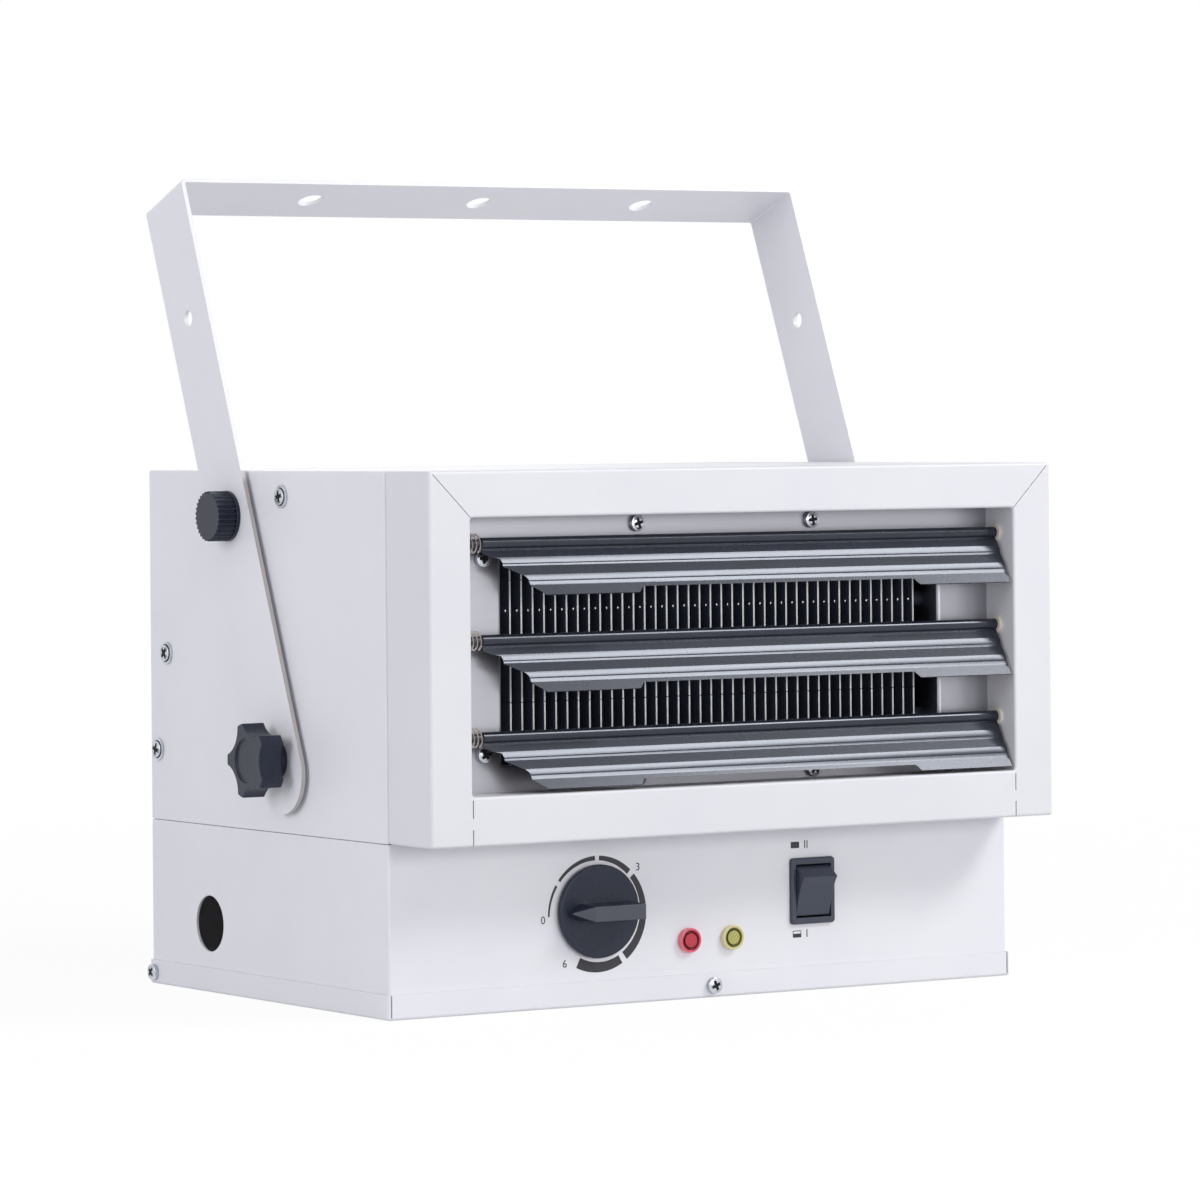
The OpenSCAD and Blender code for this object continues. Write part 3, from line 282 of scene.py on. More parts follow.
def outward(piece):
    """Closes doubled points and turns every face outwards."""
    edit(piece, "FACE")
    pick_all()
    bpy.ops.mesh.remove_doubles(threshold=0.00001)
    bpy.ops.mesh.normals_make_consistent(inside=False)
    leave()
    return piece


def smooth(piece, angle=38):
    only(piece)
    bpy.ops.object.shade_smooth_by_angle(angle=math.radians(angle))
    return modify(piece, "WEIGHTED_NORMAL", mode="FACE_AREA", weight=50, keep_sharp=True)


def fit_out(piece, material, body, slot, *nodes):
    """Gives the finished piece its material and its body, and hides the nodes it stands for. The slot is not used.
    """
    piece.data.materials.clear()
    piece.data.materials.append(material)
    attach(piece, body)
    if nodes:
        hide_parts(*nodes)
    return piece


def chain(name, points):
    """A line of points, drawn one after another."""
    deselect()
    bpy.ops.mesh.primitive_plane_add(size=MM)
    piece = settle(name)
    pick_points(piece, lambda p: True)
    bpy.ops.mesh.merge(type="CENTER")
    move(*points[0])
    for before, after in zip(points, points[1:]):
        bpy.ops.mesh.extrude_vertices_move(
            TRANSFORM_OT_translate={"value": mm([v - u for u, v in zip(before, after)])})
    return piece


def strip(name, x0, x1, line):
    """A sheet between x0 and x1 that follows a line of (y, z) points."""
    piece = chain(name, [(x0, y, z) for y, z in line])
    pick_all()
    pull(x=x1 - x0)
    leave()
    return piece


def prism(name, outline, axis, low, high):
    """An outline of points, filled and extruded along an axis."""
    at = {"Y": lambda a, b, c: (a, c, b), "X": lambda a, b, c: (c, a, b)}[axis]
    piece = chain(name, [at(a, b, low) for a, b in outline])
    pick_all()
    bpy.ops.mesh.edge_face_add()
    pull(*at(0, 0, high - low))
    return outward(piece)


def hole(centre, radius, axis, sides=32):
    """A cutter longer than any sheet is thick."""
    return drum("hole", centre, radius, 8.0, axis, sides)


# ---- Finishes ----

def group(name, inputs, outputs):
    tree = bpy.data.node_groups.new(name, "ShaderNodeTree")
    for label, kind, value in inputs:
        socket = tree.interface.new_socket(name=label, in_out="INPUT", socket_type="NodeSocket" + kind)
        if value is not None:
            socket.default_value = value
    for label, kind in outputs:
        tree.interface.new_socket(name=label, in_out="OUTPUT", socket_type="NodeSocket" + kind)
    return tree, tree.nodes.new("NodeGroupInput"), tree.nodes.new("NodeGroupOutput")


def node(tree, kind, links=None, **settings):
    made = tree.nodes.new("ShaderNode" + kind)
    values = settings.pop("values", {})
    for key, value in settings.items():
        setattr(made, key, value)
    for key, value in values.items():
        made.inputs[key].default_value = value
    for key, socket in (links or {}).items():
        tree.links.new(socket, made.inputs[key])
    return made


def coat_grain():
    """Fine skin of a baked powder coat: orange peel with small pimples."""
    tree, source, end = group("coat_grain", [("Vector", "Vector", None), ("Scale", "Float", 900.0)],
                              [("Height", "Float")])
    peel = node(tree, "TexNoise", {"Vector": source.outputs["Vector"], "Scale": source.outputs["Scale"]},
                values={"Detail": 2.0, "Roughness": 0.55})
    double = node(tree, "Math", {0: source.outputs["Scale"]}, operation="MULTIPLY", values={1: 3.1})
    pimple = node(tree, "TexVoronoi", {"Vector": source.outputs["Vector"], "Scale": double.outputs[0]},
                  feature="SMOOTH_F1", values={"Smoothness": 0.6})
    part = node(tree, "Math", {0: pimple.outputs["Distance"]}, operation="MULTIPLY", values={1: -0.35})
    total = node(tree, "Math", {0: peel.outputs["Fac"], 1: part.outputs[0]}, operation="ADD")
    tree.links.new(total.outputs[0], end.inputs["Height"])
    return tree


def handling():
    """Slow uneven patches left by wiping and handling, from 0 to 1."""
    tree, source, end = group("handling", [("Vector", "Vector", None), ("Scale", "Float", 12.0)],
                              [("Mask", "Float"), ("Fine", "Float")])
    slow = node(tree, "TexNoise", {"Vector": source.outputs["Vector"], "Scale": source.outputs["Scale"]},
                values={"Detail": 3.0, "Roughness": 0.6})
    spread = node(tree, "MapRange", {"Value": slow.outputs["Fac"]}, values={"From Min": 0.35, "From Max": 0.65})
    times = node(tree, "Math", {0: source.outputs["Scale"]}, operation="MULTIPLY", values={1: 14.0})
    quick = node(tree, "TexNoise", {"Vector": source.outputs["Vector"], "Scale": times.outputs[0]},
                 values={"Detail": 4.0, "Roughness": 0.7})
    tree.links.new(spread.outputs["Result"], end.inputs["Mask"])
    tree.links.new(quick.outputs["Fac"], end.inputs["Fine"])
    return tree


def brushed():
    """Rolling or turning marks: noise drawn out along one direction."""
    tree, source, end = group("brushed", [("Vector", "Vector", None), ("Stretch", "Vector", (1.0, 1.0, 1.0)),
                                          ("Scale", "Float", 300.0)], [("Lines", "Float")])
    drawn = node(tree, "VectorMath", {0: source.outputs["Vector"], 1: source.outputs["Stretch"]},
                 operation="MULTIPLY")
    lines = node(tree, "TexNoise", {"Vector": drawn.outputs[0], "Scale": source.outputs["Scale"]},
                 values={"Detail": 5.0, "Roughness": 0.65})
    tree.links.new(lines.outputs["Fac"], end.inputs["Lines"])
    return tree


GRAIN, PATCHES, LINES = coat_grain(), handling(), brushed()


def shade(value):
    """An sRGB triple of 0 to 255 as linear colour."""
    out = []
    for v in value:
        c = v / 255
        out.append(c / 12.92 if c <= 0.04045 else ((c + 0.055) / 1.055) ** 2.4)
    return (*out, 1.0)


def finish(name, light, dark, rough, rough_spread=0.08, metallic=0.0, bump=0.1, grain=900.0, patch=12.0,
           stretch_by=None, line_scale=300.0, **sockets):
    """A finish that varies between two colours, with its own grain, sheen and patches."""
    material = bpy.data.materials.new(name)
    material.use_nodes = True
    tree = material.node_tree
    skin = tree.nodes["Principled BSDF"]
    place = node(tree, "TexCoord")
    vector = place.outputs["Object"]
    patches = node(tree, "Group", {}, node_tree=PATCHES)
    tree.links.new(vector, patches.inputs["Vector"])
    patches.inputs["Scale"].default_value = patch
    if stretch_by:
        marks = node(tree, "Group", {}, node_tree=LINES)
        tree.links.new(vector, marks.inputs["Vector"])
        marks.inputs["Stretch"].default_value = stretch_by
        marks.inputs["Scale"].default_value = line_scale
        height, tint = marks.outputs["Lines"], marks.outputs["Lines"]
    else:
        marks = node(tree, "Group", {}, node_tree=GRAIN)
        tree.links.new(vector, marks.inputs["Vector"])
        marks.inputs["Scale"].default_value = grain
        height, tint = marks.outputs["Height"], patches.outputs["Mask"]
    colour = node(tree, "Mix", data_type="RGBA")
    colour.inputs["A"].default_value = shade(dark)
    colour.inputs["B"].default_value = shade(light)
    tree.links.new(tint, colour.inputs["Factor"])
    tree.links.new(colour.outputs["Result"], skin.inputs["Base Color"])
    worn = node(tree, "MapRange", {"Value": patches.outputs["Fine"]},
                values={"From Min": 0.3, "From Max": 0.7, "To Min": rough - rough_spread,
                        "To Max": rough + rough_spread})
    tree.links.new(worn.outputs["Result"], skin.inputs["Roughness"])
    relief = node(tree, "Bump", {"Height": height}, values={"Strength": bump, "Distance": 0.0002})
    tree.links.new(relief.outputs["Normal"], skin.inputs["Normal"])
    skin.inputs["Metallic"].default_value = metallic
    for key, value in sockets.items():
        skin.inputs[key.replace("_", " ")].default_value = value
    return material


paint = finish("white_powder_coat", (229, 229, 233), (225, 225, 230), 0.42, 0.05, bump=0.10, grain=1100)
# The same white coat as the cabinet, darker on the frame as painted shade
frame_paint_shaded = finish("frame_powder_coat_shaded", (221, 221, 225), (217, 217, 222), 0.42, 0.05, bump=0.10, grain=1100)
# Grey for the strap's edges, as painted shade where they stand beside the cabinet
strap_edge_shade = finish("strap_edge_painted_shade", (190, 186, 183), (180, 176, 173), 0.45, 0.05, bump=0.10, grain=1100)
galvanised = finish("galvanised_sheet", (178, 180, 184), (150, 153, 158), 0.38, 0.1, metallic=0.9, bump=0.06,
                    patch=60)
liner_metal = finish("liner_sheet", (170, 170, 178), (163, 163, 171), 0.33, 0.01, metallic=0.95, bump=0.012,
                     stretch_by=(0.05, 1.0, 1.0), line_scale=500)
louver_coat = finish("charcoal_coat", (32, 36, 48), (27, 30, 40), 0.21, 0.01, bump=0.012, grain=2600, patch=60,
                     Specular_IOR_Level=0.55, Specular_Tint=(0.84, 0.89, 1.0, 1.0))
# Near-white metal for the fins' spacers: painted highlights in the dark gaps between the fins
dimple_highlight_metal = finish("dimple_painted_highlight", (250, 250, 252), (235, 236, 240), 0.22, 0.04, metallic=1.0, bump=0.03)
fin_black = finish("fin_black", (80, 86, 104), (68, 73, 90), 0.42, 0.08, bump=0.1, Specular_IOR_Level=0.4)
knob_resin = finish("knob_resin", (38, 43, 58), (30, 34, 47), 0.3, 0.05, bump=0.06, grain=1600,
                    Specular_IOR_Level=0.36, Specular_Tint=(0.86, 0.91, 1.0, 1.0))
# Lighter resin for the dial grip's front faces: painted sheen, with drawn marks
grip_sheen_resin = finish("grip_sheen_resin", (74, 78, 88), (60, 64, 73), 0.38, 0.06, bump=0.10, stretch_by=(0.06, 1.0, 1.0),
                    line_scale=900, Specular_IOR_Level=0.4)
switch_resin = finish("switch_resin", (60, 66, 80), (52, 57, 70), 0.34, 0.05, bump=0.04, grain=1600,
                      Specular_IOR_Level=0.45)
zinc = finish("bright_zinc", (206, 210, 216), (180, 184, 192), 0.26, 0.08, metallic=1.0, bump=0.04, patch=200)
# Near-black for the pieces set in the screws' recesses and grooves: painted shade
recess_shade = finish("recess_painted_shade", (30, 31, 35), (18, 19, 22), 0.6, 0.08, bump=0.05, patch=200,
                   Specular_IOR_Level=0.15)
steel = finish("turned_steel", (196, 197, 200), (160, 162, 166), 0.28, 0.08, metallic=1.0, bump=0.04,
               stretch_by=(1.0, 1.0, 0.05))
# Pale beige spring wire, made lighter still as painted light against the frame's shade
wire_painted_light = finish("spring_wire_painted_light", (255, 248, 240), (246, 236, 226), 0.24, 0.05, metallic=0.4, bump=0.03, patch=300)
copper = finish("copper", (196, 128, 92), (168, 104, 72), 0.34, 0.08, metallic=1.0, bump=0.04, patch=80)
brass = finish("brass", (206, 176, 108), (182, 150, 84), 0.3, 0.08, metallic=1.0, bump=0.04, patch=80)
cast = finish("cast_casing", (72, 74, 78), (56, 58, 62), 0.55, 0.1, metallic=0.4, bump=0.35, grain=700)
laminations = finish("laminations", (104, 92, 84), (76, 66, 60), 0.5, 0.1, metallic=0.6, bump=0.3,
                     stretch_by=(0.02, 1.0, 0.02), line_scale=1500)
guard_wire = finish("plated_wire", (198, 199, 203), (170, 172, 178), 0.24, 0.06, metallic=1.0, bump=0.03)
ceramic = finish("glazed_ceramic", (232, 228, 216), (220, 214, 200), 0.22, 0.05, bump=0.05)
phenolic = finish("phenolic", (148, 124, 92), (120, 98, 70), 0.5, 0.08, bump=0.2, patch=300)
nylon = finish("nylon", (224, 220, 206), (212, 207, 192), 0.42, 0.06, bump=0.1)
rubber = finish("rubber", (34, 34, 36), (26, 26, 28), 0.65, 0.08, bump=0.25)
silicone = finish("lead_silicone", (158, 30, 28), (136, 22, 22), 0.48, 0.06, bump=0.1)
pressed_alloy = finish("pressed_alloy", (176, 178, 182), (156, 158, 163), 0.38, 0.08, metallic=1.0, bump=0.06,
                       stretch_by=(1.0, 1.0, 0.2))


def bright_edges(material, axis, side, at, colour):
    """A lighter tone on one side of a plane, as on the cut front edges of the fins, and on the strap's edges above
    the cabinet against their painted shade below.
    """
    tree = material.node_tree
    skin = tree.nodes["Principled BSDF"]
    place = node(tree, "TexCoord")
    parts = node(tree, "SeparateXYZ", {0: place.outputs["Object"]})
    edge = node(tree, "Math", {0: parts.outputs[axis]}, operation=side, values={1: at * MM})
    base = skin.inputs["Base Color"].links[0].from_socket
    mix = node(tree, "Mix", data_type="RGBA")
    tree.links.new(edge.outputs[0], mix.inputs["Factor"])
    tree.links.new(base, mix.inputs["A"])
    mix.inputs["B"].default_value = shade(colour)
    tree.links.new(mix.outputs["Result"], skin.inputs["Base Color"])


bright_edges(fin_black, "Y", "LESS_THAN", FIN_EDGE, (255, 255, 255))
# The strap's edges are lighter above the cabinet's top; their grey below it is painted shade
bright_edges(strap_edge_shade, "Z", "GREATER_THAN", TOP_Z, (228, 228, 232))


# Shares of the lens's radius at which its bands of colour begin and end; the pale rim is a painted highlight and the
# dark ring painted shade
DISC_TO, SHADE_RING_FROM, SHADE_RING_TO, SLOPE_FROM, HIGHLIGHT_RIM_FROM = 0.53, 0.58, 0.75, 0.82, 0.98


def lens_plastic(name, centre, rim, ring, disc):
    """Moulded lens: a pale rim painted as a highlight, a deep ring round the bulb darkened as painted shade, and a
    disc with a fine grid.
    """
    material = finish(name, disc, disc, 0.16, 0.03, bump=0.03, Transmission_Weight=0.25, IOR=1.49)
    tree = material.node_tree
    skin = tree.nodes["Principled BSDF"]
    place = node(tree, "TexCoord")
    offset = node(tree, "VectorMath", {0: place.outputs["Object"]}, operation="SUBTRACT",
                  values={1: (centre * MM, 0, LAMP_Z * MM)})
    flat = node(tree, "VectorMath", {0: offset.outputs[0]}, operation="MULTIPLY", values={1: (1 / MM, 0, 1 / MM)})
    far = node(tree, "VectorMath", {0: flat.outputs[0]}, operation="LENGTH")
    bands = node(tree, "ValToRGB")
    part = node(tree, "Math", {0: far.outputs["Value"]}, operation="DIVIDE", values={1: LENS_R})
    tree.links.new(part.outputs[0], bands.inputs["Fac"])
    bands.color_ramp.elements[0].color = shade(disc)
    bands.color_ramp.elements[0].position = DISC_TO
    bands.color_ramp.elements[1].color = shade(rim)
    bands.color_ramp.elements[1].position = HIGHLIGHT_RIM_FROM
    for position, tone in ((SHADE_RING_FROM, ring), (SHADE_RING_TO, ring), (SLOPE_FROM, disc)):
        bands.color_ramp.elements.new(position).color = shade(tone)
    grid = node(tree, "TexChecker", {"Vector": flat.outputs[0]}, values={"Scale": 1.1})
    weave = node(tree, "MapRange", {"Value": grid.outputs["Fac"]}, values={"To Min": 0.62, "To Max": 1.0})
    inner = node(tree, "Math", {0: far.outputs["Value"]}, operation="GREATER_THAN", values={1: LENS_GRID_R})
    share = node(tree, "Math", {0: weave.outputs["Result"], 1: inner.outputs[0]}, operation="MAXIMUM")
    grey = node(tree, "CombineColor", {i: share.outputs[0] for i in range(3)})
    tinted = node(tree, "Mix", data_type="RGBA", blend_type="MULTIPLY")
    tinted.inputs["Factor"].default_value = 1.0
    tree.links.new(bands.outputs["Color"], tinted.inputs["A"])
    tree.links.new(grey.outputs["Color"], tinted.inputs["B"])
    tree.links.new(tinted.outputs["Result"], skin.inputs["Base Color"])
    tree.links.new(tinted.outputs["Result"], skin.inputs["Emission Color"])
    skin.inputs["Emission Strength"].default_value = 0.1
    return material


red_plastic = lens_plastic("red_lens_plastic", LAMPS["red_lens"], rim=(236, 128, 144), ring=(104, 12, 28),
                           disc=(214, 56, 78))
amber_plastic = lens_plastic("amber_lens_plastic", LAMPS["amber_lens"], rim=(232, 222, 178), ring=(88, 82, 38),
                             disc=(200, 198, 112))
print_ink = finish("print_ink", (60, 60, 64), (52, 52, 57), 0.5, 0.05, bump=0.05, Specular_IOR_Level=0.3)

SLOT_FINISH = {
    "white_steel": paint, "galvanised_steel": galvanised, "liner_steel": liner_metal, "element_black": fin_black,
    "ceramic": ceramic, "copper": copper, "zinc": zinc, "guard_chrome": guard_wire, "cast_motor": cast,
    "stator_laminations": laminations, "bearing_steel": steel, "thermostat_plastic": phenolic,
    "black_plastic": switch_resin, "knob_plastic": knob_resin, "red_lens": red_plastic,
    "amber_lens": amber_plastic, "tab_brass": brass, "block_plastic": nylon, "black_rubber": rubber,
    "lead_insulation": silicone, "louver_paint": louver_coat, "spring_steel": wire_painted_light, "fan_aluminium": pressed_alloy,
}
for part in frame["record"]["subparts"]:
    bare = frame["nodes"][part["node"]]
    bare.data.materials.clear()
    bare.data.materials.append(SLOT_FINISH[part["material_slot"]])

# The rods are darker than the other pieces of their slot
blued_steel = finish("blued_rod", (78, 78, 82), (58, 58, 62), 0.42, 0.06, metallic=1.0, bump=0.04,
                     stretch_by=(0.05, 1.0, 1.0))
frame["nodes"]["louver_rods"].data.materials[0] = blued_steel


# ---- Front frame: one sheet folded round its window ----

def front_frame():
    piece = block("frame_pressing", (-SIDE_X, FRAME_Y, FRAME_Z), (SIDE_X, FRONT_Y, TOP_Z))
    centre = (0, 0, (FRAME_Z + TOP_Z) / 2)
    pick_faces(piece, lambda c, n: n.y > FACING_IT)
    delete()
    pick_edges(piece, lambda a, b: near(a.y, FRONT_Y) and near(b.y, FRONT_Y))
    pull()
    half = (TOP_Z - FRAME_Z) / 2
    stretch(((SIDE_X - RIM) / SIDE_X, 1, (half - RIM) / half), centre)
    pick_faces(piece, in_front)
    inset(SIDE_X - WIN_X)
    pick_points(piece, lambda p: near(abs(p.x), WIN_X) and p.z > 200 and p.y < -150)
    move(z=WIN_TOP - (TOP_Z - SIDE_X + WIN_X))
    pick_points(piece, lambda p: near(abs(p.x), WIN_X) and p.z < 150 and p.y < -150)
    move(z=WIN_FOOT - (FRAME_Z + SIDE_X - WIN_X))
    pick_faces(piece, lambda c, n: n.y < -FACING_IT and abs(c.x) < 1 and 150 < c.z < 190)
    pull(y=LINER_Y - FRAME_Y)
    delete()
    leave()
    soften(piece, FOLD_R, 4)
    thicken(piece)
    reach = math.hypot(SIDE_X - WIN_X, TOP_Z - WIN_TOP) - 2.5
    fine, wide = 0.18, 0.3
    near_y, far_y = FRAME_Y - 1, FRAME_Y + SHEET + 0.6
    for side in (-1, 1):
        slit = block("slit", (-fine, near_y, -wide), (fine, far_y, reach))
        slit.data.transform(shift((side * WIN_X, 0, WIN_TOP))
                            @ Matrix.Rotation(side * math.pi / 4, 4, "Y"))
        low, foot = (block("slit", (side * WIN_X - wide, near_y, z0), (side * WIN_X + wide, far_y, z1))
                     for z0, z1 in ((WIN_FOOT - 10, WIN_FOOT - 1.6), (FRAME_Z - 1, FRAME_Z + 8)))
        cut(piece, slit, low, foot)
    for z in LOUVER_Z.values():
        cut(piece, hole((-WIN_X, LOUVER_Y, z), ROD_HOLE_R, "X"), hole((WIN_X, LOUVER_Y, z), BUSH_HOLE_R, "X"))
    return fit_out(smooth(piece), frame_paint_shaded, "housing", "white_steel", "front_frame")


def cabinet_shell():
    piece = block("cabinet_wrap", (-SIDE_X, FRONT_Y + 0.4, SHELL_Z), (SIDE_X, BACK_Y, TOP_Z))
    pick_faces(piece, lambda c, n: n.y > FACING_IT or n.z < -FACING_IT)
    delete()
    pick_faces(piece, in_front)
    inset(RIM)
    pick_faces(piece, lambda c, n: n.y < -FACING_IT and abs(c.x) < 1 and c.z < 200)
    delete()
    pick_points(piece, lambda p: near(abs(p.x), SIDE_X - RIM) and p.z < 100)
    move(z=-RIM)
    leave()
    soften(piece, FOLD_R, 4)
    thicken(piece)
    for side in (-1, 1):
        cut(piece, hole((side * SIDE_X, *PIVOT), PIVOT_HOLE_R, "X"))
        for y, z in SIDE_POINTS:
            cut(piece, hole((side * SIDE_X, y, z), SCREW_HOLE_R, "X"))
    return fit_out(smooth(piece), paint, "housing", "white_steel", "cabinet_shell")


def control_box():
    piece = block("control_box_wrap", (-SIDE_X, FRONT_Y, SHEET), (SIDE_X, BACK_Y, SEAM_Z))
    pick_faces(piece, lambda c, n: n.y > FACING_IT or abs(n.z) > FACING_IT)
    delete()
    leave()
    soften(piece, FOLD_R, 4)
    thicken(piece)
    cut(piece, hole((-SIDE_X, *KNOCKOUT), KNOCKOUT_R, "X", sides=64))
    cut(piece, hole((DIAL[0], FRONT_Y, DIAL[1]), 5.1, "Y"))
    for x in LAMPS.values():
        cut(piece, hole((x, FRONT_Y, LAMP_Z), 5.0, "Y"))
    cut(piece, block("opening", (SWITCH[0] - 11.3, FRONT_Y - 3, SWITCH[1] - 14.9),
                     (SWITCH[0] + 11.3, FRONT_Y + 3, SWITCH[1] + 14.9)))
    cut(piece, hole((TRAY_SCREW_X, FRONT_Y, TRAY_SCREW_Z), SCREW_HOLE_R, "Y"))
    for side in (-1, 1):
        cut(piece, hole((side * SIDE_X, TRAY_SCREW_Y, TRAY_SCREW_Z), SCREW_HOLE_R, "X"))
    return fit_out(smooth(piece), paint, "housing", "white_steel", "control_box")


def bottom_tray():
    out_x, out_y = SIDE_X + TRAY_GROW, BACK_Y + TRAY_GROW
    piece = block("tray_pressing", (-out_x, -out_y, 0), (out_x, out_y, 12))
    pick_faces(piece, on_top)
    delete()
    leave()
    soften(piece, 1.3, 3)
    thicken(piece)
    for side in (-1, 1):
        for end in (-1, 1):
            cut(piece, block("relief", (side * SIDE_X - side * 0.8, end * (out_y + 1), SHEET),
                             (side * SIDE_X, end * (BACK_Y + 0.05), 13)))
        cut(piece, hole((side * out_x, TRAY_SCREW_Y, TRAY_SCREW_Z), SCREW_HOLE_R, "X"))
    cut(piece, hole((TRAY_SCREW_X, -out_y, TRAY_SCREW_Z), SCREW_HOLE_R, "Y"))
    return fit_out(smooth(piece), paint, "housing", "white_steel", "bottom_tray")


# ---- Mounting strap ----

def on_strap():
    return shift((0, *PIVOT)) @ Matrix.Rotation(-LEAN, 4, "X")


def mounting_strap():
    """One arm bent over at the top and rounded at its foot, then mirrored."""
    half, tail = STRAP_W / 2, ARM_TAIL
    deselect()
    bpy.ops.mesh.primitive_plane_add(size=STRAP_W * MM)
    piece = settle("mounting_strap")
    pick_points(piece, lambda p: p.x < 0)
    move(x=half)
    pick_points(piece, lambda p: p.x > 1)
    move(x=ARM_OUT - half)
    pick_all()
    move(z=STRAP_H)
    pick_edges(piece, lambda a, b: a.x > 100 and b.x > 100)
    pull(z=-STRAP_H - tail)
    leave()
    outward(piece)
    soften(piece, STRAP_BEND, 8)
    modify(piece, "MIRROR", use_axis=(True, False, False), use_clip=True, merge_threshold=0.0001)
    edit(piece, "FACE")
    pick_all()
    bpy.ops.mesh.normals_make_consistent(inside=False)
    leave()
    if max(piece.data.polygons, key=lambda f: f.center.z).normal.z < 0:
        piece.data.flip_normals()
    thicken(piece, STRAP_WALL)
    for side in (-1, 1):
        x = side * (ARM_IN + ARM_OUT) / 2
        corners = block("corners", (x - 4, -half - 1, -tail - 1), (x + 4, half + 1, half - tail))
        cut(corners, drum("round", (x, 0, half - tail), half, 20, "X", 96))
        cut(piece, corners)
        for z, radius in ((0, 4.05), (THUMB_H, 3.05), (SPARE_H, 4.0)):
            cut(piece, hole((x, 0, z), radius, "X"))
    for x in (-CEILING_X, 0, CEILING_X):
        cut(piece, hole((x, 0, STRAP_H - 1.5), 6.5, "Z", sides=48))
    soften(piece, 0.45, 2, 50)
    # The edges of the arms: grey beside the cabinet as painted shade, lighter above its top
    edges = [f.index for f in piece.data.polygons if abs(f.normal.x) < 0.3 and abs(f.center.x) > 0.15]
    piece.data.transform(on_strap())
    fit_out(smooth(piece), paint, "bracket", "white_steel", "mounting_bracket")
    piece.data.materials.append(strap_edge_shade)
    for index in edges:
        piece.data.polygons[index].material_index = 1
    return piece


# ---- Louvers ----

# The blade's section in y and z from the pivot: its rolled tube, then its beads and flats
ROLL = [polar(2.4, a) for a in range(-66, 250, 15)]
BLADE = [(-1.0, -3.0), (-3.7, -6.85), (-4.25, -7.9), (-4.67, -8.85), (-4.92, -9.45), (-4.98, -9.7), (-4.97, -9.85),
         (-5.01, -10.0), (-5.08, -10.15), (-5.33, -10.75), (-5.47, -11.0), (-8.3, -15.1), (-8.85, -16.15),
         (-9.25, -17.1), (-9.45, -17.6), (-9.5, -17.85), (-9.51, -18.0), (-9.55, -18.15), (-10.05, -19.3),
         (-10.3, -19.8), (-10.45, -20.05), (-13.2, -24.5)]
# What is cut from the left end, in x and z
LEFT_STEPS = [(-1, -4.8), (0, -4.8), (4.5, -6.6), (8.4, -7.2), (9.2, -8.8), (9.4, -11.0), (19.2, -15.3),
              (20.8, -16.8), (21.3, -19.9), (28.2, -24.0), (28.4, -28), (-1, -28)]


def louver(name):
    x0, x1 = LOUVER_X
    piece = strip("louver_" + name + "_pressing", x0, x1, ROLL + BLADE)
    soften(piece, 0.2, 2, 5)
    thicken(piece, 0.7, 0.0)
    cut(piece, prism("steps", [(x0 + x, z) for x, z in LEFT_STEPS], "Y", -20, 20))
    lip, step, tab = BLADE[-1][1], 3.0, 52.6
    left, right = x0 + 26 + tab, x1 - tab
    cut(piece, prism("lip", [(left, lip - 2), (left + step + 2, lip + step), (right - step - 2, lip + step),
                             (right, lip - 2)], "Y", -20, 20))
    soften(piece, 0.16, 2, 60)
    piece.data.transform(shift((0, LOUVER_Y, LOUVER_Z[name])))
    return fit_out(smooth(piece, 50), louver_coat, "louver_" + name, "louver_paint", "louver_" + name)


def louver_spring(name):
    """Wire wound round the rod between the return and the louver."""
    coil_r, wire_r, turns, steps = 4.2, 0.56, 5, 28
    start, stop = -WIN_X + TOUCH + 2 * wire_r, LOUVER_X[0] - 2 * wire_r
    end_angle = math.radians(256)
    deselect()
    bpy.ops.mesh.primitive_circle_add(vertices=14, radius=wire_r * MM, rotation=TURNS["X"])
    piece = settle("louver_" + name + "_coil")
    pick_points(piece, lambda p: True)
    move(y=coil_r)
    leave()
    pitch = (stop - start) / turns
    modify(piece, "SCREW", axis="X", angle=2 * math.pi, screw_offset=pitch * MM, iterations=turns, steps=steps,
           render_steps=steps, use_merge_vertices=False)
    edit(piece, "EDGE")
    pick_all()
    bpy.ops.mesh.region_to_loop()
    pull(x=0)
    leave()
    low = min(v.co.x for v in piece.data.vertices) / MM
    outward(piece)
    piece.data.transform(shift((start - low - wire_r, LOUVER_Y, LOUVER_Z[name]))
                         @ Matrix.Rotation(end_angle, 4, "X"))
    return fit_out(smooth(piece, 60), wire_painted_light, "louver_" + name, "spring_steel", "louver_spring_" + name)


def liner():
    """Bright sheet behind the frame, its window folded back."""
    win_x, foot, top = LINER_WIN
    piece = block("liner_pressing", (-WIN_X - RIM, LINER_Y, WIN_FOOT - RIM),
                  (WIN_X + RIM, LINER_Y + 5, WIN_TOP + RIM))
    pick_faces(piece, lambda c, n: n.y > -FACING_IT)
    delete()
    pick_faces(piece, in_front)
    margin = WIN_X + RIM - win_x
    inset(margin)
    pick_points(piece, lambda p: near(abs(p.x), win_x) and p.z > 170)
    move(z=top - (WIN_TOP + RIM - margin))
    pick_points(piece, lambda p: near(abs(p.x), win_x) and p.z < 170)
    move(z=foot - (WIN_FOOT - RIM + margin))
    pick_faces(piece, lambda c, n: abs(c.x) < 1 and near(c.z, (foot + top) / 2, 3))
    pull(y=6.7)
    delete()
    leave()
    soften(piece, FOLD_R, 4)
    thicken(piece)
    for x, z in LINER_POINTS:
        cut(piece, hole((x, LINER_Y, z), SCREW_HOLE_R, "Y"))
    return fit_out(smooth(piece), liner_metal, "housing", "liner_steel", "liner_plate")


# ---- Screws ----

FACING = {"front": Matrix.Rotation(math.pi / 2, 4, "X"), "back": Matrix.Rotation(-math.pi / 2, 4, "X"),
          "left": Matrix.Rotation(-math.pi / 2, 4, "Y"), "right": Matrix.Rotation(math.pi / 2, 4, "Y")}


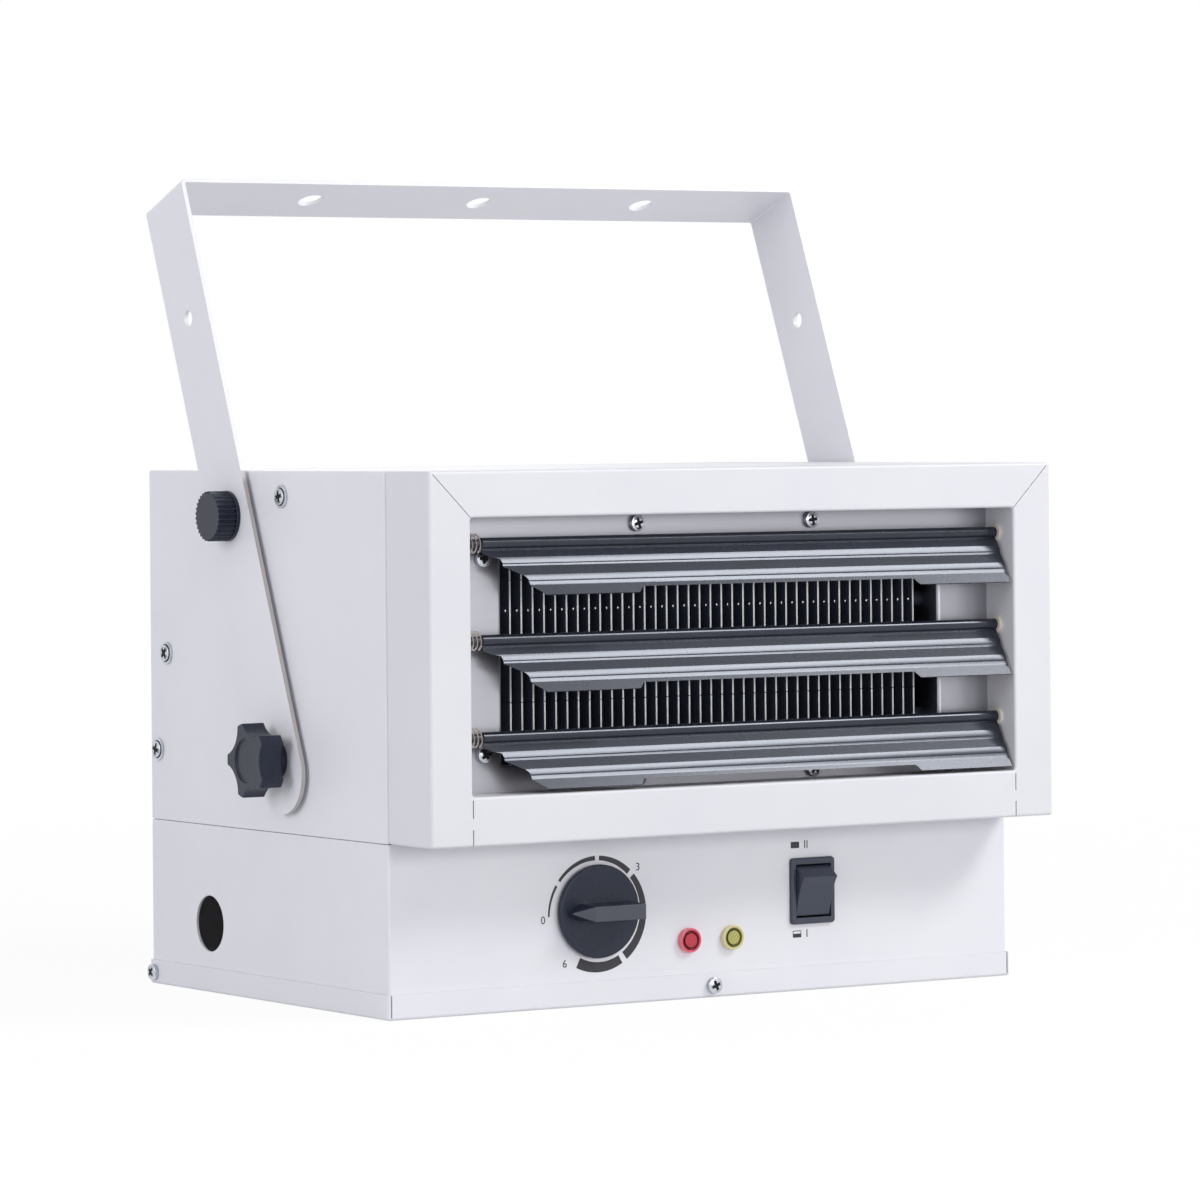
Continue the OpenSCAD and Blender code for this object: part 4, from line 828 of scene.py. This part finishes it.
def hand(side):
    return "left" if side < 0 else "right"


def seated(point, way, turn=0.0):
    """Moves a piece made on +Z so that it stands on a face at a point."""
    return shift(point) @ FACING[way] @ Matrix.Rotation(math.radians(turn), 4, "Z")


HEAD_R, HEAD_H = 4.0, 2.4
CROSS_L, CROSS_W = 2.9, 0.72  # half the length and width of one blade
WIDE_CROSS, PLAIN_CROSS = 0.36, 0.1  # what is added to both


def pan_head(spread):
    """Pan head with a cross recess, which a spread makes wider."""
    piece = drum("pan_head", (0, 0, HEAD_H / 2), HEAD_R, HEAD_H, sides=40)
    pick_faces(piece, on_top)
    inset(0.9)
    pull(z=0.35)
    stretch((0.72, 0.72, 1), (0, 0, 2.75))
    leave()
    soften(piece, 0.55, 4, 20)
    for angle in (0, 90):
        cut(piece, recess(angle, 1.0, 3.4, spread))
    return piece


def recess(angle, low, high, spread):
    """One blade of the cross: a slot that narrows downwards."""
    blade = block("cross", (-CROSS_L - spread, -CROSS_W - spread, low), (CROSS_L + spread, CROSS_W + spread, high))
    pick_faces(blade, lambda c, n: n.z < -FACING_IT)
    stretch((0.5, 0.75, 1), (0, 0, low))
    leave()
    blade.data.transform(Matrix.Rotation(math.radians(angle), 4, "Z"))
    return blade


def recess_shade_plug(spread):
    """Dark piece that stands in the cross as painted shade in the recess."""
    first, second = (recess(angle, 0.8, 2.5, spread - 0.04) for angle in (0, 90))
    return cut(first, second, how="UNION")


def washer():
    """Washer whose rim stands round a groove, so that a dark ring shows round the head; screw_set lays a ring of
    painted shade in that groove.
    """
    piece = drum("washer", (0, 0, 0.55), 5.7, 1.1, sides=48)
    cut(piece, drum("groove", (0, 0, 0.9), 4.5, 1.0, sides=48), hole((0, 0, 0.5), 2.2, "Z"))
    return soften(piece, 0.22, 2)


def screw_set(node_name, places, with_washer=False):
    """The same screw copied to each (point, way, turn)."""
    spread = WIDE_CROSS if with_washer else PLAIN_CROSS
    head, shade_plug = pan_head(spread), recess_shade_plug(spread)
    if with_washer:
        for made in (head, shade_plug):
            made.data.transform(shift((0, 0, 0.5)) @ Matrix.Diagonal((1.0, 1.0, 0.62, 1)))
        head = join("seated_head", [head, washer()])
        # A dark ring in the washer's groove, as painted shade round the head
        shade_ring = drum("groove_shade_ring", (0, 0, 0.6), 4.45, 0.3, sides=40)
        shade_plug = join("seated_recess_shade", [shade_plug, cut(shade_ring, hole((0, 0, 0.6), 3.0, "Z"))])
    for made, name, material, nodes in ((head, "_heads", zinc, (node_name,)),
                                        (shade_plug, "_recess_shades", recess_shade, ())):
        copies = [copy_of(made, "screw", seated(point, way, turn)) for point, way, turn in places]
        bpy.data.objects.remove(made)
        fit_out(smooth(outward(join(node_name + name, copies))), material, "housing", "zinc", *nodes)


def all_screws():
    screw_set("side_screws", [((s * SIDE_X, y, z), hand(s), 12 + 31 * i)
                              for s in (-1, 1) for i, (y, z) in enumerate(SIDE_POINTS)], with_washer=True)
    screw_set("base_screws", [((TRAY_SCREW_X, -BACK_Y - TRAY_GROW, TRAY_SCREW_Z), "front", 22)] + [
        ((s * (SIDE_X + TRAY_GROW), TRAY_SCREW_Y, TRAY_SCREW_Z), hand(s), 50) for s in (-1, 1)])
    screw_set("liner_screws", [((x, LINER_Y, z), "front", 17 + 40 * i)
                               for i, (x, z) in enumerate(LINER_POINTS)])
    ring = [(a, *polar(86, a)) for a in range(45, 360, 90)]
    screw_set("guard_screws", [((x, BACK_Y + 2, FAN_Z + z), "back", a * 1.7) for a, x, z in ring])


# ---- Knobs ----

def star_knob(side):
    """Five-lobed knob with a dished face, on a round neck with a blind bore."""
    name = "star_knob_" + hand(side)
    middle, scoop_at = 11.9, 27.3
    piece = drum(name + "_head", (0, 0, middle), 18.2, 12, sides=120)
    for k in range(5):
        cut(piece, drum("scoop", (*polar(scoop_at, 90 + 72 * (k + 0.5)), middle), 14.1, 20, sides=120))
    soften(piece, 1.7, 5, 25)
    dish_r = 10.6
    dish = drum("dish", (0, 0, 18.6), dish_r, 3.4, sides=72)
    soften(dish, 0.5, 3)
    cut(piece, dish)
    pick_edges(piece, lambda a, b: min(a.z, b.z) > 17.8 and
               max(math.hypot(a.x, a.y), math.hypot(b.x, b.y)) < dish_r + 0.1)
    bevel(0.45, 3)
    leave()
    cut(piece, drum("neck", (0, 0, 3.2), 9.1, 6.4, sides=64), how="UNION")
    cut(piece, drum("bore", (0, 0, 5), 4.15, 14.8, sides=40))
    piece.data.transform(seated((side * (ARM_OUT + TOUCH), *PIVOT), hand(side)))
    return fit_out(smooth(outward(piece)), knob_resin, name, "knob_plastic", name)


def thumb_screw(side):
    """Straight-ribbed head on a collar, with its stud."""
    name = "thumb_screw_" + hand(side)
    groove_r, rib_share = 11.3, 1.085
    piece = drum(name + "_head", (0, 0, 6.8), groove_r, 10, sides=120)
    pick_points(piece, lambda p: round(math.degrees(math.atan2(p.y, p.x)) / 3) % 4 in (0, 1))
    stretch((rib_share, rib_share, 1), (0, 0, 0))
    leave()
    modify(piece, "BEVEL", width=0.45 * MM, segments=2, limit_method="ANGLE", angle_limit=math.radians(50))
    collar = drum("collar", (0, 0, 0.95), 12.4, 1.9, sides=72)
    soften(collar, 0.35, 2)
    stud = drum("stud", (0, 0, -1.7), 3.0, 5.0, sides=32)
    piece = join(name + "_head", [piece, collar, stud])
    place = on_strap() @ seated((side * (ARM_OUT + TOUCH), 0, THUMB_H), hand(side))
    piece.data.transform(place)
    return fit_out(smooth(outward(piece), 30), knob_resin, name, "knob_plastic", name)


def dial():
    """Round control knob: a slightly dished disc and a grip bar that ends in a point."""
    piece = drum("dial_disc", (0, 0, 1.5), 22.5, 3.0, sides=128)
    pick_faces(piece, on_top)
    inset(1.6)
    inset(8.0)
    move(z=-0.35)
    inset(6.0)
    move(z=0.5)
    leave()
    soften(piece, 0.7, 3, 40)
    bar = block("grip", (-11.2, -4.2, 2.2), (18.0, 4.2, 16.2))
    pick_faces(bar, on_top)
    stretch((0.985, 0.86, 1), (0, 0, 16.2))
    pick_faces(bar, lambda c, n: n.x < -FACING_IT)
    pull(x=-6.8)
    stretch((1, 0.06, 0.3), (-18, 0, 2.2))
    leave()
    soften(bar, 0.75, 4, 18)
    cut(piece, bar, how="UNION")
    cut(piece, drum("bore", (0, 0, 2), 3.05, 14, sides=40))
    piece.data.transform(seated((DIAL[0], FRONT_Y - 0.8, DIAL[1]), "front"))
    fit_out(smooth(outward(piece), 30), knob_resin, "thermostat_dial", "knob_plastic", "thermostat_knob")
    # The grip's front faces take the lighter resin as painted sheen
    piece.data.materials.append(grip_sheen_resin)
    for face in piece.data.polygons:
        if face.center.y < (FRONT_Y - 4.6) * MM and face.normal.y < -0.15:
            face.material_index = 1
    return piece


# ---- Marks printed on the panel ----

INK = 0.06


def ink_piece(piece, name):
    piece.name = piece.data.name = name
    return fit_out(outward(piece), print_ink, "housing", "knob_plastic")


def dial_scale():
    """Five arcs round the dial that widen clockwise."""
    outer, thin, gain, end, steps = 28, 0.9, 4.4, 296, 18

    def radius_in(angle):
        return outer - thin - gain * angle / end

    def at(radius, angle):
        x, z = polar(radius, 180 - angle)
        return (DIAL_RING[0] + x, DIAL_RING[1] + z)

    arcs = []
    for first, last in ((0, 32.4), (38, 87.7), (92.5, 133), (138.8, 233.6), (239.9, end)):
        angles = [first + (last - first) * k / steps for k in range(steps + 1)]
        outline = [at(outer, a) for a in angles] + [at(radius_in(a), a) for a in reversed(angles)]
        arcs.append(prism("arc", outline, "Y", FRONT_Y - INK, FRONT_Y + 0.02))
    return ink_piece(join("dial_scale", arcs), "dial_scale")


def numeral(text, x, z, height):
    """A figure printed on the panel, centred on a point."""
    deselect()
    bpy.ops.object.text_add(location=mm((x, FRONT_Y - INK, z)), rotation=(math.pi / 2, 0, 0))
    piece = bpy.context.view_layer.objects.active
    piece.data.body = text
    piece.data.align_x = piece.data.align_y = "CENTER"
    piece.data.size = height * 1.4 * MM
    piece.data.extrude = 0.04 * MM
    bpy.ops.object.convert(target="MESH")
    return settle("numeral")


def marks():
    figures = [numeral("0", -94.6, 42.3, 3.8), numeral("3", -40.4, 65.3, 3.8), numeral("6", -82.6, 20.9, 3.8),
               numeral("II", 58.2, 71.5, 4.0), numeral("I", 58.4, 27.8, 4.0)]
    ink_piece(join("figures", figures), "panel_figures")
    full = block("icon", (49.2, FRONT_Y - INK, 70.0), (54.2, FRONT_Y + 0.02, 73.1))
    half = block("icon", (50.0, FRONT_Y - INK, 26.1), (55.0, FRONT_Y + 0.02, 29.5))
    cut(half, block("bare", (50.35, FRONT_Y - 1, 28.0), (54.65, FRONT_Y + 1, 29.15)))
    ink_piece(join("icons", [full, half]), "switch_icons")


# ---- Lamps and switch ----

def lamp(node_name, material, slot):
    """Lens with a rounded rim, a sunk ring and a low boss in the middle."""
    piece = drum(node_name + "_cap", (0, 0, -3.3), LENS_STEM_R, 9.0, sides=64)
    pick_faces(piece, on_top)
    move(z=-1.15)
    pull()
    rim = LENS_R / LENS_STEM_R
    stretch((rim, rim, 1), (0, 0, 0))
    pull(z=2.9)
    for thickness, depth in ((1.25, 0.0), (0.3, -1.2), (0.8, 0.0), (0.25, 1.1)):
        inset(thickness)
        move(z=depth)
    leave()
    soften(piece, 0.9, 4, 50)
    piece.data.transform(seated((LAMPS[node_name], FRONT_Y, LAMP_Z), "front"))
    return fit_out(smooth(outward(piece)), material, "housing", slot, node_name)


def switch():
    """Bezel with round corners, and a rocker whose face is hollow."""
    x, z = SWITCH
    piece = block("switch_bezel", (x - BEZEL_X, FRONT_Y - BEZEL_T, z - BEZEL_Z), (x + BEZEL_X, FRONT_Y, z + BEZEL_Z))
    pick_edges(piece, lambda a, b: near(a.x, b.x) and near(a.z, b.z))
    bevel(1.9, 6)
    pick_edges(piece, lambda a, b: near(a.y, FRONT_Y - BEZEL_T) and near(b.y, FRONT_Y - BEZEL_T))
    bevel(1.1, 5)
    leave()
    body = block("body", (x - 11.2, FRONT_Y - 1, z - 14.8), (x + 11.2, FRONT_Y + 24, z + 14.8))
    cut(piece, body, how="UNION")
    cut(piece, block("well", (x - 10.35, FRONT_Y - 4, z - 13.1), (x + 10.35, FRONT_Y + 13, z + 13.1)))
    modify(piece, "BEVEL", width=0.3 * MM, segments=2, limit_method="ANGLE", angle_limit=math.radians(60))
    fit_out(smooth(outward(piece)), switch_resin, "housing", "black_plastic", "switch_housing")

    outline = [(-0.4, 12.3), (-2.4, 11.8), (-8.7, 7.2), (-7.0, 4.6), (-5.5, 1.6), (-4.25, -1.4), (-3.25, -4.4),
               (-2.45, -7.4), (-1.8, -10.0), (-1.2, -12.3), (1.4, -12.4), (6, -6), (6, 6), (1.4, 12.3)]
    rocker = prism("rocker_cap", outline, "X", -10, 10)
    soften(rocker, 0.5, 3, 34)
    rocker.data.transform(shift((x, FRONT_Y, z)))
    fit_out(smooth(outward(rocker), 30), switch_resin, "rocker", "black_plastic", "switch_rocker")


LEADS = [
    [(-99, 40.5, 15), (-99, 40.5, 26), (-60, 10, 30), (-20, -40, 34), (49.2, -72, 44), (56.2, -72.5, 48.9),
     (56.2, -84.5, 48.9)],
    [(-99, 51.5, 15), (-99, 51.5, 26), (-88, 30, 34), (-78.5, -40, 38), (-76.5, -63.3, 41.9), (-76.5, -77.3, 41.9)],
    [(-99, 62.5, 15), (-99, 62.5, 26), (-120, 30, 36), (-154, -52, 56), (-154, -60, 72), (-154, -60, 92.4),
     (-154.5, -112, 109), (-151, -112, 117), (-151, -112, 127)],
    [(-99, 73.5, 15), (-99, 73.5, 26), (-126, 46, 44), (-147, -48, 60), (-147, -56, 72), (-147, -56, 90.4),
     (-152.5, -83, 113), (-151, -83, 119), (-151, -83, 127)]]


LEAD_R = 1.5


def lead(points):
    """A round lead along its points, drawn as a curve and turned into a mesh."""
    deselect()
    bpy.ops.curve.primitive_bezier_curve_add(radius=MM)
    piece = bpy.context.view_layer.objects.active
    bpy.ops.object.mode_set(mode="EDIT")
    bpy.ops.curve.select_all(action="SELECT")
    bpy.ops.curve.delete(type="VERT")
    for point in points:
        bpy.ops.curve.vertex_add(location=mm(point))
    bpy.ops.curve.select_all(action="SELECT")
    bpy.ops.curve.handle_type_set(type="AUTOMATIC")
    leave()
    piece.data.dimensions = "3D"
    piece.data.resolution_u = 10
    piece.data.bevel_depth = LEAD_R * MM
    piece.data.bevel_resolution = 4
    piece.data.use_fill_caps = True
    bpy.ops.object.convert(target="MESH")
    return settle("lead")


def leads():
    piece = join("internal_lead_runs", [lead(points) for points in LEADS])
    return fit_out(smooth(outward(piece), 60), silicone, "housing", "lead_insulation", "internal_leads")


def dimples():
    """Small pressed spacers near the front edge of the fins, one on each, in near-white metal as painted highlights.
    """
    deselect()
    bpy.ops.mesh.primitive_uv_sphere_add(segments=20, ring_count=12, radius=1)
    one = settle("dimple")
    pick_points(one, lambda p: True)
    stretch((0.75 * MM, 0.6 * MM, 0.9 * MM), (0, 0, 0))
    leave()
    count, pitch = 38, 6.35
    row = [copy_of(one, "dimple", shift(((k - (count - 1) / 2) * pitch - 0.4, -122.6, 191)))
           for k in range(count)]
    bpy.data.objects.remove(one)
    piece = join("fin_dimples", row)
    return fit_out(smooth(outward(piece), 60), dimple_highlight_metal, "housing", "element_black")


front_frame()
cabinet_shell()
control_box()
bottom_tray()
mounting_strap()
for row in LOUVER_Z:
    louver(row)
    louver_spring(row)
liner()
all_screws()
for side in (-1, 1):
    star_knob(side)
    thumb_screw(side)
dial()
dial_scale()
marks()
lamp("red_lens", red_plastic, "red_lens")
lamp("amber_lens", amber_plastic, "amber_lens")
switch()
dimples()
leads()


# ---- Floor, light and camera ----

def direct_rays(tree):
    """1 for camera, glossy and transmission rays, 0 for the rest."""
    path = node(tree, "LightPath")
    seen = node(tree, "Math", {0: path.outputs["Is Camera Ray"], 1: path.outputs["Is Glossy Ray"]},
                operation="MAXIMUM")
    return node(tree, "Math", {0: seen.outputs[0], 1: path.outputs["Is Transmission Ray"]}, operation="MAXIMUM")


def studio_floor():
    """White floor that fades into the background away from the heater."""
    deselect()
    bpy.ops.mesh.primitive_circle_add(vertices=96, radius=6, fill_type="NGON", location=(0, 0, -0.0002))
    floor = settle("studio_floor")
    material = bpy.data.materials.new("pale_floor")
    material.use_nodes = True
    tree = material.node_tree
    tree.nodes.clear()
    out = tree.nodes.new("ShaderNodeOutputMaterial")
    matt = node(tree, "BsdfDiffuse", values={"Color": shade((216, 216, 218))})
    lit = node(tree, "Emission", values={"Color": (1, 1, 1, 1), "Strength": 1.05})
    seen = direct_rays(tree)
    part = node(tree, "Math", {0: seen.outputs[0]}, operation="MULTIPLY", values={1: 0.87})
    blend = node(tree, "MixShader", {0: part.outputs[0], 1: matt.outputs[0], 2: lit.outputs[0]})
    place = node(tree, "TexCoord")
    far = node(tree, "VectorMath", {0: place.outputs["Object"]}, operation="LENGTH")
    fade = node(tree, "MapRange", {"Value": far.outputs["Value"]}, values={"From Min": 0.45, "From Max": 1.6})
    gone = node(tree, "Math", {0: fade.outputs["Result"], 1: seen.outputs[0]}, operation="MULTIPLY")
    clear = node(tree, "Emission", values={"Color": (1, 1, 1, 1), "Strength": 1.0})
    last = node(tree, "MixShader", {0: gone.outputs[0], 1: blend.outputs[0], 2: clear.outputs[0]})
    tree.links.new(last.outputs[0], out.inputs["Surface"])
    floor.data.materials.append(material)


def studio_air():
    """Soft light all round, with a white background behind it."""
    world = bpy.data.worlds.new("studio_air")
    bpy.context.scene.world = world
    world.use_nodes = True
    tree = world.node_tree
    tree.nodes.clear()
    out = tree.nodes.new("ShaderNodeOutputWorld")
    soft = node(tree, "Background", values={"Color": shade((247, 248, 252)), "Strength": 0.59})
    white = node(tree, "Background", values={"Color": (1, 1, 1, 1), "Strength": 1.0})
    seen = direct_rays(tree)
    mix = node(tree, "MixShader", {0: seen.outputs[0], 1: soft.outputs[0], 2: white.outputs[0]})
    tree.links.new(mix.outputs[0], out.inputs["Surface"])


def softbox(name, place, aim, size, power, tint=(255, 255, 255)):
    """An area light in metres and watts, aimed at a point."""
    data = bpy.data.lights.new(name, "AREA")
    data.shape = "RECTANGLE"
    data.size, data.size_y = size
    data.energy = power
    data.color = shade(tint)[:3]
    light = bpy.data.objects.new(name, data)
    light.location = place
    light.rotation_euler = (Vector(aim) - Vector(place)).to_track_quat("-Z", "Y").to_euler()
    link(light)


def studio_lights():
    softbox("bead_strip", (1.24, -1.45, 1.60), (0, -0.1, 0.17), (1.0, 0.46), 23)
    softbox("side_box", (-2.6, -0.3, 0.8), (0, 0, 0.1), (1.2, 1.4), 20, (250, 251, 255))
    softbox("low_box", (0.3, -2.8, 0.55), (0, 0, 0.06), (1.7, 0.5), 18)
    softbox("back_box", (0.8, 2.6, 1.2), (0, 0, 0.2), (1.6, 1.2), 7)


def camera():
    """The photograph's camera, as fitted to the cabinet's edges."""
    data = bpy.data.cameras.new("photo_camera")
    data.sensor_width, data.lens, data.shift_y = 36, 172.35, -0.1638
    yaw, pitch, roll = (math.radians(a) for a in (32.678, 0.187, -0.522))
    ahead = Vector((math.sin(yaw) * math.cos(pitch), math.cos(yaw) * math.cos(pitch), math.sin(pitch)))
    level = ahead.cross(Vector((0, 0, 1))).normalized()
    rise = level.cross(ahead)
    right = level * math.cos(roll) + rise * math.sin(roll)
    up = rise * math.cos(roll) - level * math.sin(roll)
    place = (-1.5504, -2.4406, 0.280)
    turned = Matrix((right, up, -ahead)).transposed().to_4x4()
    made = bpy.data.objects.new("photo_camera", data)
    made.matrix_world = Matrix.Translation(place) @ turned
    link(made)
    bpy.context.scene.camera = made


studio_floor()
studio_air()
studio_lights()
camera()
bpy.context.scene.view_settings.view_transform = "Standard"
deselect()
